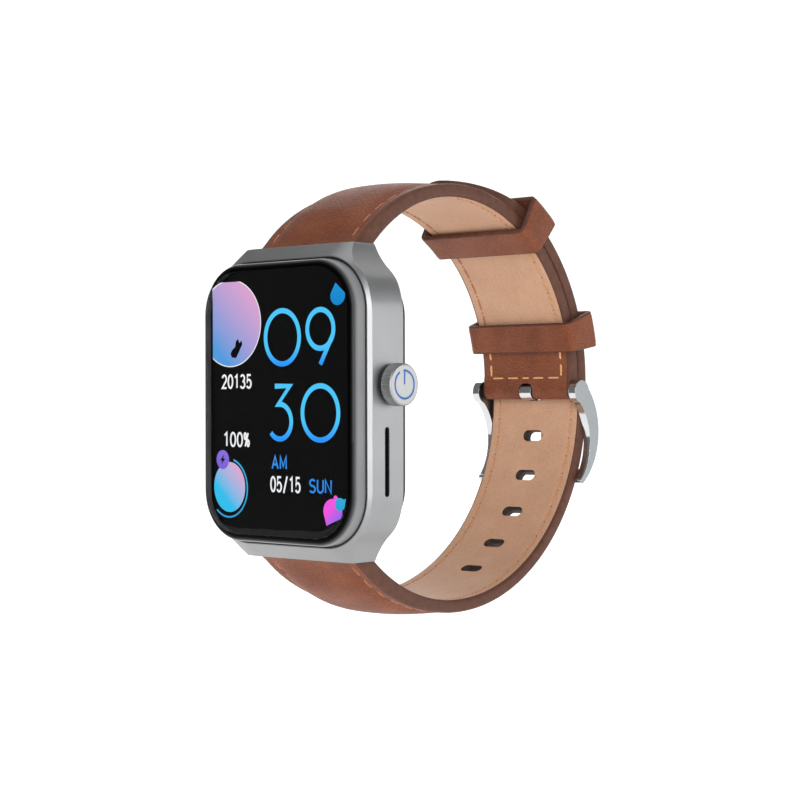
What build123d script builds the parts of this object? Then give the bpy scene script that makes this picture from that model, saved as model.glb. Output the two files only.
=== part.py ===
from build123d import *
import math
import os

# A rectangular smartwatch on a two-piece leather strap, buckled into a loop.
# Units are millimetres. The origin is the centre of the case back. +X is the crown side,
# +Y points from the case back into the loop, and +Z points to 12 o'clock.
# "height" always means the distance in front of the case back, towards the screen (-Y).

os.makedirs("parts", exist_ok=True)

# ---------------------------------------------------------------- driving dimensions
case_half_width = 18.2
lug_half_width = 12.2
lug_to_lug = 50.0
front_height = 9.7            # front face of the metal case
metal_rear_height = 2.17      # rear edge of the metal case
back_height = 1.0             # outer face of the back cover; the sensor window reaches 0
glass_height = 12.5           # top of the cover glass
glass_hollow_height = 11.1    # inner face of the cover glass
rim_half_width, rim_half_length, rim_corner = 17.65, 22.8, 8.65
slope_run = 0.914             # how far the front slope goes outwards per mm of depth
cavity_half_width, cavity_half_length, cavity_corner = 16.2, 19.4, 7.0
shell_gap = 0.05              # assembly gap between pieces that sit in each other

strap_lug_half_width = 11.0
strap_half_width = 10.25
bar_y, bar_z = -5.1, 22.6     # spring bar axis (12 o'clock side)
barrel_radius = 1.7           # leather round the spring bar
upper_centre, upper_radius = (20.75, 3.9), 30.3     # inner face of the 12 o'clock half
lower_centre, lower_radius = (20.5, 0.1), 33.0      # inner face of the 6 o'clock half
tail_radius = 32.75           # inner face of the tail, about upper_centre
strap_thickness = 2.2
lining_thickness = 0.8
cover_from = 1.22             # where the outer leather starts, measured from the inner face
tail_end_angle = 80
tail_straight_end = 50
hole_pitch_angle = 13.0
hole_count = 7
hole_first_angle = 15.0       # of the hidden hole above the one in use

pin_y, pin_z = 52.0, 1.8      # buckle bar axis
keeper_inner, keeper_outer, keeper_half_width, keeper_wall = 29.0, 36.8, 12.0, 1.07

crown_height, crown_z, crown_radius = 4.7, 2.75, 3.3
crown_start, crown_end = 18.65, 20.8
crown_teeth = 56
slot_height, slot_z, slot_length, slot_width = 5.84, -9.14, 10.75, 1.04

screw_x, screw_z = 12.6, 15.8


# ---------------------------------------------------------------- helpers
def polar(centre, radius, angle):
    """Point (y, z) at an angle in degrees about a loop centre."""
    turn = math.radians(angle)
    return (centre[0] + radius * math.cos(turn), centre[1] + radius * math.sin(turn))


def arc_band(centre, inner, outer, start, end):
    """Adds a band between two arcs to the sketch; inner and outer are (start, mid, end) radii."""
    angles = (start, (start + end) / 2, end)
    near = [polar(centre, r, a) for r, a in zip(inner, angles)]
    far = [polar(centre, r, a) for r, a in zip(outer, angles)]
    with BuildLine() as outline:
        ThreePointArc(*near)
        Line(near[2], far[2])
        ThreePointArc(*reversed(far))
        Line(far[0], near[0])
    make_face(outline.edges())


def even(radius):
    """The same radius at the start, middle and end of a band."""
    return (radius, radius, radius)


def front_plane(height):
    """Sketch plane parallel to the screen; extruding from it goes towards the front."""
    return Plane.XZ.offset(height)


def disc_pocket(x, z, radius, low, high):
    """Cuts a round hole between two heights out of the current part."""
    with Locations(Location((x, -(low + high) / 2, z), (90, 0, 0))):
        Cylinder(radius, high - low, mode=Mode.SUBTRACT)


def side_cylinder(x_from, x_to, radius, y, z, mode=Mode.ADD):
    """A cylinder along X."""
    with Locations(Location(((x_from + x_to) / 2, y, z), (0, 90, 0))):
        Cylinder(radius, x_to - x_from, mode=mode)


def save(piece, name):
    """Labels a finished piece and writes its STEP file."""
    piece.part.label = name
    export_step(piece.part, f"parts/{name}.step")


# ---------------------------------------------------------------- case
strap_channel = [(-7.1, 20.6), (-7.1, 23.2), (-5.2, 25.1), (-5.2, 26), (1, 26), (1, 20.6)]
shoulder = [(12.2, 24.8), (13.25, 23.0), (14.6, 21.4)]

with BuildPart() as case_frame:
    with BuildSketch(front_plane(metal_rear_height)):
        with BuildLine():
            Line((0, 0), (0, lug_to_lug / 2))
            Line((0, lug_to_lug / 2), (lug_half_width - 0.2, lug_to_lug / 2))
            Line((lug_half_width - 0.2, lug_to_lug / 2), shoulder[0])
            ThreePointArc(*shoulder)
            Spline(shoulder[2], (16.8, 19.1), (17.9, 16.2), (case_half_width, 11.5),
                   tangents=[(1.1, -1.0), (0, -1)])
            Line((case_half_width, 11.5), (case_half_width, 0))
            Line((case_half_width, 0), (0, 0))
        make_face()
        mirror(about=Plane.XZ)
        mirror(about=Plane.YZ)
    extrude(amount=front_height - metal_rear_height)
    # the front is one slope all round, from the rim of the glass outwards and back
    spread = slope_run * (front_height - metal_rear_height)
    with BuildSketch(front_plane(front_height)):
        RectangleRounded(2 * rim_half_width, 2 * rim_half_length, rim_corner)
    with BuildSketch(front_plane(metal_rear_height)):
        RectangleRounded(2 * (rim_half_width + spread), 2 * (rim_half_length + spread),
                         rim_corner + spread)
    loft(ruled=True, mode=Mode.INTERSECT)
    # pocket for the glass and its gasket, then the cavity right through
    with BuildSketch(front_plane(front_height - 1.2)):
        RectangleRounded(2 * 17.5, 2 * 22.65, 8.5)
    extrude(amount=1.2, mode=Mode.SUBTRACT)
    with BuildSketch(front_plane(metal_rear_height)):
        RectangleRounded(2 * cavity_half_width, 2 * cavity_half_length, cavity_corner)
    extrude(amount=front_height - metal_rear_height, mode=Mode.SUBTRACT)
    # open channels for the strap ends, behind the hooded lugs
    with BuildSketch(Plane.YZ):
        Polygon(*strap_channel, align=None)
        mirror(about=Plane.XZ)
    extrude(amount=strap_lug_half_width + 0.1, both=True, mode=Mode.SUBTRACT)
    for side in (1, -1):
        side_cylinder(-11.95, 11.95, 0.45, bar_y, side * bar_z, Mode.SUBTRACT)
    # crown bore, speaker slot, microphone hole
    side_cylinder(15, 19, 1.65, -crown_height, crown_z, Mode.SUBTRACT)
    with BuildSketch(Plane.YZ.offset(15)):
        with Locations((-slot_height, slot_z)):
            SlotOverall(slot_length, slot_width, rotation=90)
    extrude(amount=5, mode=Mode.SUBTRACT)
    side_cylinder(-19, -15, 0.4, -crown_height, 0, Mode.SUBTRACT)
save(case_frame, "case_frame")

# ---------------------------------------------------------------- glass, gasket, screen
glass_bottom = front_height - 1.05
with BuildPart() as cover_glass:
    with BuildSketch(front_plane(glass_bottom)):
        RectangleRounded(2 * 17.2, 2 * 22.35, 8.2)
    extrude(amount=glass_height - glass_bottom)
    fillet(cover_glass.faces().sort_by(Axis.Y)[0].edges(), 1.1)
    with BuildSketch(front_plane(glass_bottom)):
        RectangleRounded(2 * 15.95, 2 * 21.1, 6.95)
    extrude(amount=glass_hollow_height - glass_bottom, mode=Mode.SUBTRACT)
save(cover_glass, "cover_glass")

with BuildPart() as glass_gasket:
    with BuildSketch(front_plane(front_height - 1.2)):
        RectangleRounded(2 * 17.48, 2 * 22.63, 8.48)
        RectangleRounded(2 * 17.22, 2 * 22.37, 8.22, mode=Mode.SUBTRACT)
    extrude(amount=1.2)
    with BuildSketch(front_plane(front_height - 1.2)):
        RectangleRounded(2 * 17.48, 2 * 22.63, 8.48)
        RectangleRounded(2 * 16.4, 2 * 20.4, 7.2, mode=Mode.SUBTRACT)
    extrude(amount=0.13)
save(glass_gasket, "glass_gasket")

with BuildPart() as display_panel:
    with BuildSketch(front_plane(glass_hollow_height - 1.0)):
        RectangleRounded(2 * 15.9, 2 * 21.05, 6.9)
    extrude(amount=0.9)
save(display_panel, "display_panel")

# ---------------------------------------------------------------- inside the case
with BuildPart() as inner_chassis:
    with BuildSketch(front_plane(3.0)):
        RectangleRounded(2 * 16.0, 2 * 19.2, 6.8)
    extrude(amount=5.3)
    with BuildSketch(front_plane(3.0)):
        RectangleRounded(2 * 15.2, 2 * 18.4, 6.0)
    extrude(amount=4.7, mode=Mode.SUBTRACT)
    with BuildSketch(front_plane(3.0)):
        with GridLocations(2 * screw_x, 2 * screw_z, 2, 2):
            Circle(1.5)
    extrude(amount=5.0)
    with BuildSketch(front_plane(3.0)):
        with GridLocations(2 * screw_x, 2 * screw_z, 2, 2):
            Circle(0.6)
    extrude(amount=4.0, mode=Mode.SUBTRACT)
    # openings in the right wall for the crown and the speaker, and one for the screen's flex
    with BuildSketch(Plane.YZ.offset(14.5)):
        with Locations((-crown_height, crown_z)):
            Rectangle(5.0, 6.0)
        with Locations((-slot_height, slot_z)):
            Rectangle(3.4, 10.0)
    extrude(amount=2, mode=Mode.SUBTRACT)
    with BuildSketch(front_plane(7.0)):
        with Locations((0, -16.5)):
            Rectangle(9, 1.2)
    extrude(amount=2, mode=Mode.SUBTRACT)
save(inner_chassis, "inner_chassis")

with BuildPart() as main_board:
    with BuildSketch(front_plane(6.9)):
        RectangleRounded(21.6, 34.8, 1.0)
    extrude(amount=0.7)
save(main_board, "main_board")

with BuildPart() as shield_can:
    with BuildSketch(front_plane(5.9)):
        with Locations((0, 11.8)):
            RectangleRounded(16, 9, 0.6)
    extrude(amount=0.97)
    with BuildSketch(front_plane(6.05)):
        with Locations((0, 11.8)):
            RectangleRounded(15.7, 8.7, 0.45)
    extrude(amount=1, mode=Mode.SUBTRACT)
save(shield_can, "shield_can")

with BuildPart() as battery:
    with BuildSketch(front_plane(3.3)):
        with Locations((0, -3.6)):
            RectangleRounded(18.6, 20.0, 1.5)
    extrude(amount=3.4)
    fillet(battery.edges().filter_by(Axis.Y, reverse=True), 0.5)
save(battery, "battery")

with BuildPart() as display_flex:
    with BuildSketch(Plane.YZ):
        Polygon((-10.08, -16.5), (-7.69, -16.5), (-7.69, -12.5), (-7.61, -12.5),
                (-7.61, -16.58), (-10.08, -16.58), align=None)
    extrude(amount=3.5, both=True)
save(display_flex, "display_flex")

with BuildPart() as speaker:
    with BuildSketch(front_plane(4.4)):
        with Locations((13.1, slot_z)):
            RectangleRounded(3.7, 9.0, 0.5)
    extrude(amount=2.6)
save(speaker, "speaker")

with BuildPart() as slot_grille:
    with BuildSketch(Plane.YZ.offset(17.0)):
        with Locations((-slot_height, slot_z)):
            SlotOverall(slot_length - 0.06, slot_width - 0.06, rotation=90)
    extrude(amount=0.9)
    with BuildSketch(Plane.YZ.offset(17.0)):
        with Locations((-slot_height, slot_z)):
            with GridLocations(0.42, 0.46, 2, 20):
                Circle(0.12)
    extrude(amount=0.9, mode=Mode.SUBTRACT)
save(slot_grille, "slot_grille")

with BuildPart() as microphone:
    with BuildSketch(front_plane(4.0)):
        with Locations((-14.0, 0)):
            RectangleRounded(2.0, 2.8, 0.3)
    extrude(amount=1.4)
save(microphone, "microphone")

with BuildPart() as vibration_motor:
    with BuildSketch(front_plane(3.3)):
        with Locations((-4.5, 11.9)):
            Circle(3.9)
    extrude(amount=2.4)
    fillet(vibration_motor.edges(), 0.3)
save(vibration_motor, "vibration_motor")

# ---------------------------------------------------------------- back
with BuildPart() as back_cover:
    with BuildSketch(front_plane(back_height)):
        RectangleRounded(2 * 17.95, 2 * 20.3, 7.0)
    extrude(amount=metal_rear_height - shell_gap - back_height)
    chamfer(back_cover.faces().sort_by(Axis.Y)[-1].edges(), 0.5)
    with BuildSketch(front_plane(metal_rear_height - shell_gap)):
        RectangleRounded(2 * 15.9, 2 * 19.1, 6.7)
    extrude(amount=0.8)
    disc_pocket(0, 0, 10.55, 0, 4)
    for x in (-screw_x, screw_x):
        for z in (-screw_z, screw_z):
            disc_pocket(x, z, 0.65, 0, 4)
            disc_pocket(x, z, 1.25, 0, 1.75)
    for x in (-2.5, 2.5):
        disc_pocket(x, -14.4, 1.03, 0, 4)
save(back_cover, "back_cover")

with BuildPart() as back_cover_seal:
    with BuildSketch(front_plane(2.3)):
        RectangleRounded(2 * 16.18, 2 * 19.38, 6.98)
        RectangleRounded(2 * 15.92, 2 * 19.12, 6.72, mode=Mode.SUBTRACT)
    extrude(amount=0.45)
save(back_cover_seal, "back_cover_seal")

with BuildPart() as back_cover_screws:
    with BuildSketch(front_plane(back_height + 0.05)):
        with GridLocations(2 * screw_x, 2 * screw_z, 2, 2):
            Circle(1.2)
    extrude(amount=0.65)
    with BuildSketch(front_plane(back_height + 0.05)):
        with GridLocations(2 * screw_x, 2 * screw_z, 2, 2):
            Circle(0.57)
    extrude(amount=4.4)
    with BuildSketch(front_plane(back_height + 0.05)):
        with GridLocations(2 * screw_x, 2 * screw_z, 2, 2):
            Rectangle(1.3, 0.25)
            Rectangle(0.25, 1.3)
    extrude(amount=0.35, mode=Mode.SUBTRACT)
save(back_cover_screws, "back_cover_screws")

with BuildPart() as sensor_window:
    with BuildSketch(front_plane(0)):
        Circle(10.5)
    extrude(amount=1.7)
    chamfer(sensor_window.faces().sort_by(Axis.Y)[-1].edges(), length=0.9, length2=2.2)
save(sensor_window, "sensor_window")

with BuildPart() as sensor_board:
    with BuildSketch(front_plane(2.35)):
        Circle(10.3)
    extrude(amount=0.5)
save(sensor_board, "sensor_board")

with BuildPart() as sensor_leds:
    with BuildSketch(front_plane(1.75)):
        with PolarLocations(5.2, 4):
            Rectangle(2.2, 2.2)
        with GridLocations(2.6, 0, 2, 1):
            Rectangle(1.4, 1.6)
    extrude(amount=0.57)
save(sensor_leds, "sensor_leds")

with BuildPart() as charge_contacts:
    with BuildSketch(front_plane(back_height - 0.05)):
        with Locations((-2.5, -14.4), (2.5, -14.4)):
            Circle(1.0)
    extrude(amount=1.9)
save(charge_contacts, "charge_contacts")

# ---------------------------------------------------------------- crown
crown_y = -crown_height

with BuildPart() as crown_tube:
    side_cylinder(14.9, 19.0, 1.6, crown_y, crown_z)
    side_cylinder(14.9, 19.0, 1.08, crown_y, crown_z, Mode.SUBTRACT)
save(crown_tube, "crown_tube")

with BuildPart() as crown_knob:
    # fine teeth all round, with softened rims
    with BuildSketch(Plane.YZ.offset(crown_start)):
        with Locations((crown_y, crown_z)):
            Circle(crown_radius)
            with PolarLocations(crown_radius + 0.04, crown_teeth):
                Circle(0.16, mode=Mode.SUBTRACT)
    extrude(amount=crown_end - crown_start)
    with BuildSketch(Plane.YZ.offset(crown_start)):
        with Locations((crown_y, crown_z)):
            Circle(crown_radius - 0.3)
    with BuildSketch(Plane.YZ.offset(crown_start + 0.3)):
        with Locations((crown_y, crown_z)):
            Circle(crown_radius + 0.1)
    with BuildSketch(Plane.YZ.offset(crown_end - 0.3)):
        with Locations((crown_y, crown_z)):
            Circle(crown_radius + 0.1)
    with BuildSketch(Plane.YZ.offset(crown_end)):
        with Locations((crown_y, crown_z)):
            Circle(crown_radius - 0.3)
    loft(ruled=True, mode=Mode.INTERSECT)
    # recess that the tube enters, and the stem's bore
    side_cylinder(crown_start, 19.6, 2.3, crown_y, crown_z, Mode.SUBTRACT)
    side_cylinder(19.6, 20.25, 1.01, crown_y, crown_z, Mode.SUBTRACT)
    # groove for the inlay: a broken ring and a short line
    with BuildSketch(Plane.YZ.offset(crown_end - 0.25)):
        with Locations((crown_y, crown_z)):
            Circle(2.30)
            Circle(2.02, mode=Mode.SUBTRACT)
            with Locations((-0.66, 2.1)):
                Rectangle(0.8, 1.0, mode=Mode.SUBTRACT)
            with Locations((0, 1.15)):
                Rectangle(0.28, 2.2)
    extrude(amount=0.5, mode=Mode.SUBTRACT)
save(crown_knob, "crown_knob")

with BuildPart() as crown_inlay:
    with BuildSketch(Plane.YZ.offset(crown_end - 0.24)):
        with Locations((crown_y, crown_z)):
            Circle(2.29)
            Circle(2.03, mode=Mode.SUBTRACT)
            with Locations((-0.66, 2.1)):
                Rectangle(0.82, 1.02, mode=Mode.SUBTRACT)
            with Locations((0, 1.15)):
                Rectangle(0.26, 2.18)
    extrude(amount=0.26)
save(crown_inlay, "crown_inlay")

with BuildPart() as crown_stem:
    side_cylinder(12.65, 20.2, 1.0, crown_y, crown_z)
    with BuildSketch(Plane.XY.offset(crown_z)):
        with Locations((14.7, crown_y + 1.0), (16.2, crown_y + 1.0), (17.4, crown_y + 1.0)):
            Rectangle(0.4, 0.5)
    revolve(axis=Axis((0, crown_y, crown_z), (1, 0, 0)), mode=Mode.SUBTRACT)
save(crown_stem, "crown_stem")

with BuildPart() as crown_seals:
    with BuildSketch(Plane.XY.offset(crown_z)):
        with Locations((16.2, crown_y + 0.915), (17.4, crown_y + 0.915)):
            RectangleRounded(0.34, 0.29, 0.1)
    revolve(axis=Axis((0, crown_y, crown_z), (1, 0, 0)))
save(crown_seals, "crown_seals")

with BuildPart() as crown_c_clip:
    with BuildSketch(Plane.YZ.offset(14.55)):
        with Locations((crown_y, crown_z)):
            Circle(1.5)
            Circle(0.78, mode=Mode.SUBTRACT)
            with Locations((0, -1.2)):
                Rectangle(1.0, 1.6, mode=Mode.SUBTRACT)
    extrude(amount=0.28)
save(crown_c_clip, "crown_c_clip")

with BuildPart() as encoder_wheel:
    with BuildSketch(Plane.YZ.offset(13.3)):
        with Locations((crown_y, crown_z)):
            Circle(1.7)
            Circle(1.01, mode=Mode.SUBTRACT)
            with PolarLocations(1.38, 16):
                Circle(0.14, mode=Mode.SUBTRACT)
    extrude(amount=0.9)
save(encoder_wheel, "encoder_wheel")

with BuildPart() as encoder_sensor:
    with BuildSketch(front_plane(6.95)):
        with Locations((13.6, crown_z)):
            Rectangle(2.2, 2.0)
    extrude(amount=0.65)
save(encoder_sensor, "encoder_sensor")

with BuildPart() as crown_plunger:
    side_cylinder(11.5, 12.6, 1.4, crown_y, crown_z)
    fillet(crown_plunger.edges(), 0.2)
save(crown_plunger, "crown_plunger")

with BuildPart() as crown_switch:
    with BuildSketch(Plane.YZ.offset(9.7)):
        with Locations((crown_y, crown_z)):
            RectangleRounded(2.8, 3.6, 0.3)
    extrude(amount=0.9)
    side_cylinder(10.6, 11.05, 0.9, crown_y, crown_z)
save(crown_switch, "crown_switch")


# ---------------------------------------------------------------- strap
def trim_to_width():
    """Trims the current part to the strap's plan: full width at the lugs, slimmer beyond."""
    with BuildSketch() as plan:
        Polygon((-strap_lug_half_width, -12), (strap_lug_half_width, -12),
                (strap_lug_half_width, -0.9), (strap_half_width, 20.3), (strap_half_width, 62),
                (-strap_half_width, 62), (-strap_half_width, 20.3), (-strap_lug_half_width, -0.9),
                align=None)
    extrude(plan.sketch, amount=60, both=True, mode=Mode.INTERSECT)


def lever_slot(side):
    """Cuts the window that the release lever slides in."""
    with Locations((8.0, bar_y + 1.6, side * bar_z)):
        Box(2.6, 3.6, 1.5, mode=Mode.SUBTRACT)


def spring_bar_barrel(side):
    """Leather round the spring bar."""
    side_cylinder(-strap_lug_half_width, strap_lug_half_width, barrel_radius,
                  bar_y, side * bar_z)


def clear_round(y, z, radius):
    """Cuts a cylinder along X, the strap's full width, out of the current part."""
    side_cylinder(-13, 13, radius, y, z, Mode.SUBTRACT)


upper_lug_angle, upper_swell_angle, upper_thin_angle = 144.1, 138.0, 92.0
lower_lug_angle, lower_swell_angle, lower_thin_angle = -138.4, -133.0, -88.0


def layer(centre, radius, span, inside, outside, half_width, mode=Mode.ADD):
    """A layer of strap between two distances from the inner face, over a span of angles."""
    with BuildSketch(Plane.YZ) as profile:
        arc_band(centre, [radius + t for t in inside], [radius + t for t in outside], *span)
    extrude(profile.sketch, amount=half_width, both=True, mode=mode)


def upper_layer(span, inside, outside, half_width, mode=Mode.ADD):
    """A layer of the 12 o'clock half."""
    layer(upper_centre, upper_radius, span, inside, outside, half_width, mode)


def lower_layer(span, inside, outside, half_width, mode=Mode.ADD):
    """A layer of the 6 o'clock half."""
    layer(lower_centre, lower_radius, span, inside, outside, half_width, mode)


with BuildPart() as upper_strap_cover:
    upper_layer((upper_lug_angle, upper_thin_angle), (1.5, 1.3, cover_from),
                (3.0, 2.6, strap_thickness), strap_lug_half_width)
    upper_layer((upper_thin_angle, -0.5), even(cover_from), even(strap_thickness),
                strap_lug_half_width)
    upper_layer((upper_swell_angle, upper_thin_angle), (1.4, 1.3, cover_from),
                (3.0, 4.3, strap_thickness), 8.6)
    upper_layer((upper_swell_angle - 4, upper_thin_angle + 6), even(-1), (1.95, 3.0, 1.3),
                8.0, mode=Mode.SUBTRACT)
    trim_to_width()
    spring_bar_barrel(1)
    clear_round(bar_y, bar_z, 0.85)
    clear_round(pin_y, pin_z, 1.5)
    lever_slot(1)
save(upper_strap_cover, "upper_strap_cover")

with BuildPart() as upper_strap_padding:
    upper_layer((upper_swell_angle - 4.2, upper_thin_angle + 6.2), (1.0, 0.9, 0.85),
                (1.9, 2.95, 1.26), 7.9)
    upper_layer((upper_thin_angle + 6.2, 21), even(lining_thickness + 0.02),
                even(cover_from - 0.02), strap_half_width - 0.4)
save(upper_strap_padding, "upper_strap_padding")

with BuildPart() as upper_strap_lining:
    upper_layer((upper_lug_angle - 2, 17), even(0), even(lining_thickness),
                strap_lug_half_width)
    trim_to_width()
    clear_round(bar_y, bar_z, barrel_radius + 0.02)
    lever_slot(1)
save(upper_strap_lining, "upper_strap_lining")

with BuildPart() as buckle_fold:
    upper_layer((16.6, -2.5), even(-0.05), even(cover_from - 0.03), 10)
    side_cylinder(-10, 10, 1.45, pin_y, pin_z)
    clear_round(pin_y, pin_z, 0.85)
    with Locations((0, pin_y, pin_z - 0.6)):
        Box(3.2, 6, 4.4, mode=Mode.SUBTRACT)
save(buckle_fold, "buckle_fold")


def lower_run(inside, outside):
    """The lower half past its padded part: round the loop, up past the buckle, and the tail."""
    lower_layer((lower_thin_angle, 0), even(inside), even(outside), strap_lug_half_width)
    rise = upper_centre[1] - lower_centre[1]
    straight_y = lower_centre[0] + lower_radius + (inside + outside) / 2
    with Locations((0, straight_y, lower_centre[1] + rise / 2)):
        Box(2 * strap_lug_half_width, outside - inside, rise)
    layer(upper_centre, tail_radius, (0, tail_end_angle), even(inside), even(outside),
          strap_lug_half_width)


def outward_plane(centre, radius, angle, lift=0.0):
    """A plane on a loop, facing outwards, with its x axis along X."""
    y, z = polar(centre, radius, angle)
    turn = math.radians(angle)
    return Plane(origin=(0, y, z + lift), x_dir=(1, 0, 0),
                 z_dir=(0, math.cos(turn), math.sin(turn)))


def cut_holes():
    """Adjustment holes through the tail, one pitch apart round the loop."""
    for index in range(hole_count):
        in_use = index == 1
        angle = hole_first_angle - index * hole_pitch_angle
        length = 3.0 if in_use else 2.0          # the hole in use has stretched
        place = outward_plane(lower_centre, lower_radius, angle, 0.45 if in_use else 0)
        with BuildSketch(place) as hole:
            RectangleRounded(4.4, length, 0.99)
        extrude(hole.sketch, amount=4, both=True, mode=Mode.SUBTRACT)


def round_the_tail():
    """Cuts the corners off the tail, leaving a long elliptical tip."""
    middle = (tail_straight_end + tail_end_angle) / 2
    half_turn = math.radians((tail_end_angle - tail_straight_end) / 2)
    reach = (tail_radius + 1) * math.sin(half_turn)
    with BuildSketch(outward_plane(upper_centre, tail_radius + 1, middle)) as waste:
        with Locations((0, -6)):
            Rectangle(30, 2 * reach + 12)
        with Locations((0, reach)):
            Ellipse(strap_half_width + 0.02, 2 * reach, mode=Mode.SUBTRACT)
    extrude(waste.sketch, amount=4, both=True, mode=Mode.SUBTRACT)


with BuildPart() as lower_strap_cover:
    lower_layer((lower_lug_angle, lower_thin_angle), (1.4, 1.2, 1.08), (2.8, 2.5, 2.15),
                strap_lug_half_width)
    lower_layer((lower_swell_angle, lower_thin_angle), (1.4, 1.3, 1.08), (2.8, 4.3, 2.15),
                8.6)
    lower_layer((lower_swell_angle + 4, lower_thin_angle - 6), even(-1), (1.95, 3.0, 1.2),
                8.0, mode=Mode.SUBTRACT)
    lower_run(1.08, 2.15)
    trim_to_width()
    spring_bar_barrel(-1)
    clear_round(bar_y, -bar_z, 0.85)
    lever_slot(-1)
    cut_holes()
    round_the_tail()
save(lower_strap_cover, "lower_strap_cover")

with BuildPart() as lower_strap_padding:
    lower_layer((lower_swell_angle + 4.2, lower_thin_angle - 6.2), even(1.07),
                (1.9, 2.95, 1.16), 7.9)
save(lower_strap_padding, "lower_strap_padding")

with BuildPart() as lower_strap_lining:
    lower_layer((lower_lug_angle + 2, lower_thin_angle), even(0), even(1.05),
                strap_lug_half_width)
    lower_run(0, 1.05)
    trim_to_width()
    clear_round(bar_y, -bar_z, barrel_radius + 0.02)
    lever_slot(-1)
    cut_holes()
    round_the_tail()
save(lower_strap_lining, "lower_strap_lining")


def keeper(start, sweep_angle):
    """A flat-sided leather loop round the strap, at an angle about the upper centre."""
    middle = (keeper_inner + keeper_outer) / 2
    depth = keeper_outer - keeper_inner
    turn = math.radians(start)
    y, z = polar(upper_centre, middle, start)
    plane = Plane(origin=(0, y, z), x_dir=(1, 0, 0), z_dir=(0, math.sin(turn), -math.cos(turn)))
    with BuildSketch(plane) as section:
        RectangleRounded(2 * keeper_half_width, depth, 1.3)
        RectangleRounded(2 * (keeper_half_width - keeper_wall), depth - 2 * keeper_wall, 0.5,
                         mode=Mode.SUBTRACT)
    centre = (0, upper_centre[0], upper_centre[1])
    revolve(section.sketch, axis=Axis(centre, (1, 0, 0)), revolution_arc=sweep_angle)


with BuildPart() as fixed_keeper:
    keeper(9.6, 10.4)
save(fixed_keeper, "fixed_keeper")

with BuildPart() as free_keeper:
    keeper(48.7, 11.6)
save(free_keeper, "free_keeper")

# ---------------------------------------------------------------- spring bars
for side, name in ((1, "upper"), (-1, "lower")):
    z = side * bar_z
    with BuildPart() as bar_tube:
        side_cylinder(-10.9, 10.7, 0.8, bar_y, z)
        side_cylinder(-4, 10.8, 0.55, bar_y, z, Mode.SUBTRACT)
        side_cylinder(-11, -8, 0.41, bar_y, z, Mode.SUBTRACT)
        with BuildSketch(Plane.XY.offset(z)):
            with Locations((8.0, bar_y + 0.8)):
                Rectangle(2.5, 1.6)
        extrude(amount=0.48, both=True, mode=Mode.SUBTRACT)
    save(bar_tube, f"{name}_spring_bar_tube")

    with BuildPart() as fixed_tip:
        side_cylinder(-11.9, -8.1, 0.4, bar_y, z)
    save(fixed_tip, f"{name}_spring_bar_fixed_tip")

    with BuildPart() as release_pin:
        side_cylinder(6.5, 11.0, 0.5, bar_y, z)
        side_cylinder(11.0, 11.9, 0.4, bar_y, z)
        with BuildSketch(front_plane(-bar_y)):
            with Locations((8.65, z)):
                Circle(0.4)
        extrude(amount=-3.2)
        with BuildSketch(front_plane(-bar_y - 2.4)):
            with Locations((8.65, z)):
                Circle(0.62)
        extrude(amount=-0.9)
    save(release_pin, f"{name}_release_pin")

    with BuildPart() as bar_spring:
        with BuildLine() as coil:
            Helix(pitch=0.8, height=10.0, radius=0.37, center=(-3.7, bar_y, z),
                  direction=(1, 0, 0))
        with BuildSketch(Plane(origin=coil.line @ 0, z_dir=coil.line % 0)):
            Rectangle(0.24, 0.24)
        sweep(path=coil.line, is_frenet=True)
    save(bar_spring, f"{name}_bar_spring")

# ---------------------------------------------------------------- buckle
with BuildPart() as buckle_bar:
    side_cylinder(-10.3, 10.3, 0.8, pin_y, pin_z)
    side_cylinder(-10.4, -8.4, 0.51, pin_y, pin_z, Mode.SUBTRACT)
    side_cylinder(8.4, 10.4, 0.51, pin_y, pin_z, Mode.SUBTRACT)
save(buckle_bar, "buckle_bar")

with BuildPart() as buckle_bar_tips:
    side_cylinder(-11.4, -8.5, 0.5, pin_y, pin_z)
    side_cylinder(8.5, 11.4, 0.5, pin_y, pin_z)
save(buckle_bar_tips, "buckle_bar_tips")

arm_inside, arm_outside = 10.45, 11.9
with BuildPart() as buckle_frame:
    # two crescent arms, joined by a cross-bar at their tips
    with BuildSketch(Plane.YZ):
        with BuildLine():
            ThreePointArc((53.2, 3.1), (56.9, -5.9), (52.2, -14.6))
            ThreePointArc((52.2, -14.6), (51.7, -14.2), (52.1, -13.5))
            ThreePointArc((52.1, -13.5), (54.35, -7.6), (50.9, 0.4))
            Line((50.9, 0.4), (53.2, 3.1))
        make_face()
        with Locations((pin_y, pin_z)):
            Circle(2.05)
    extrude(amount=arm_outside, both=True)
    with BuildSketch(Plane.YZ):
        Rectangle(140, 60)
        with Locations((54.65, -13.1)):
            RectangleRounded(2.1, 2.1, 0.8, rotation=-20, mode=Mode.SUBTRACT)
    extrude(amount=arm_inside, both=True, mode=Mode.SUBTRACT)
    side_cylinder(-11.45, 11.45, 0.54, pin_y, pin_z, Mode.SUBTRACT)
save(buckle_frame, "buckle_frame")

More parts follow.
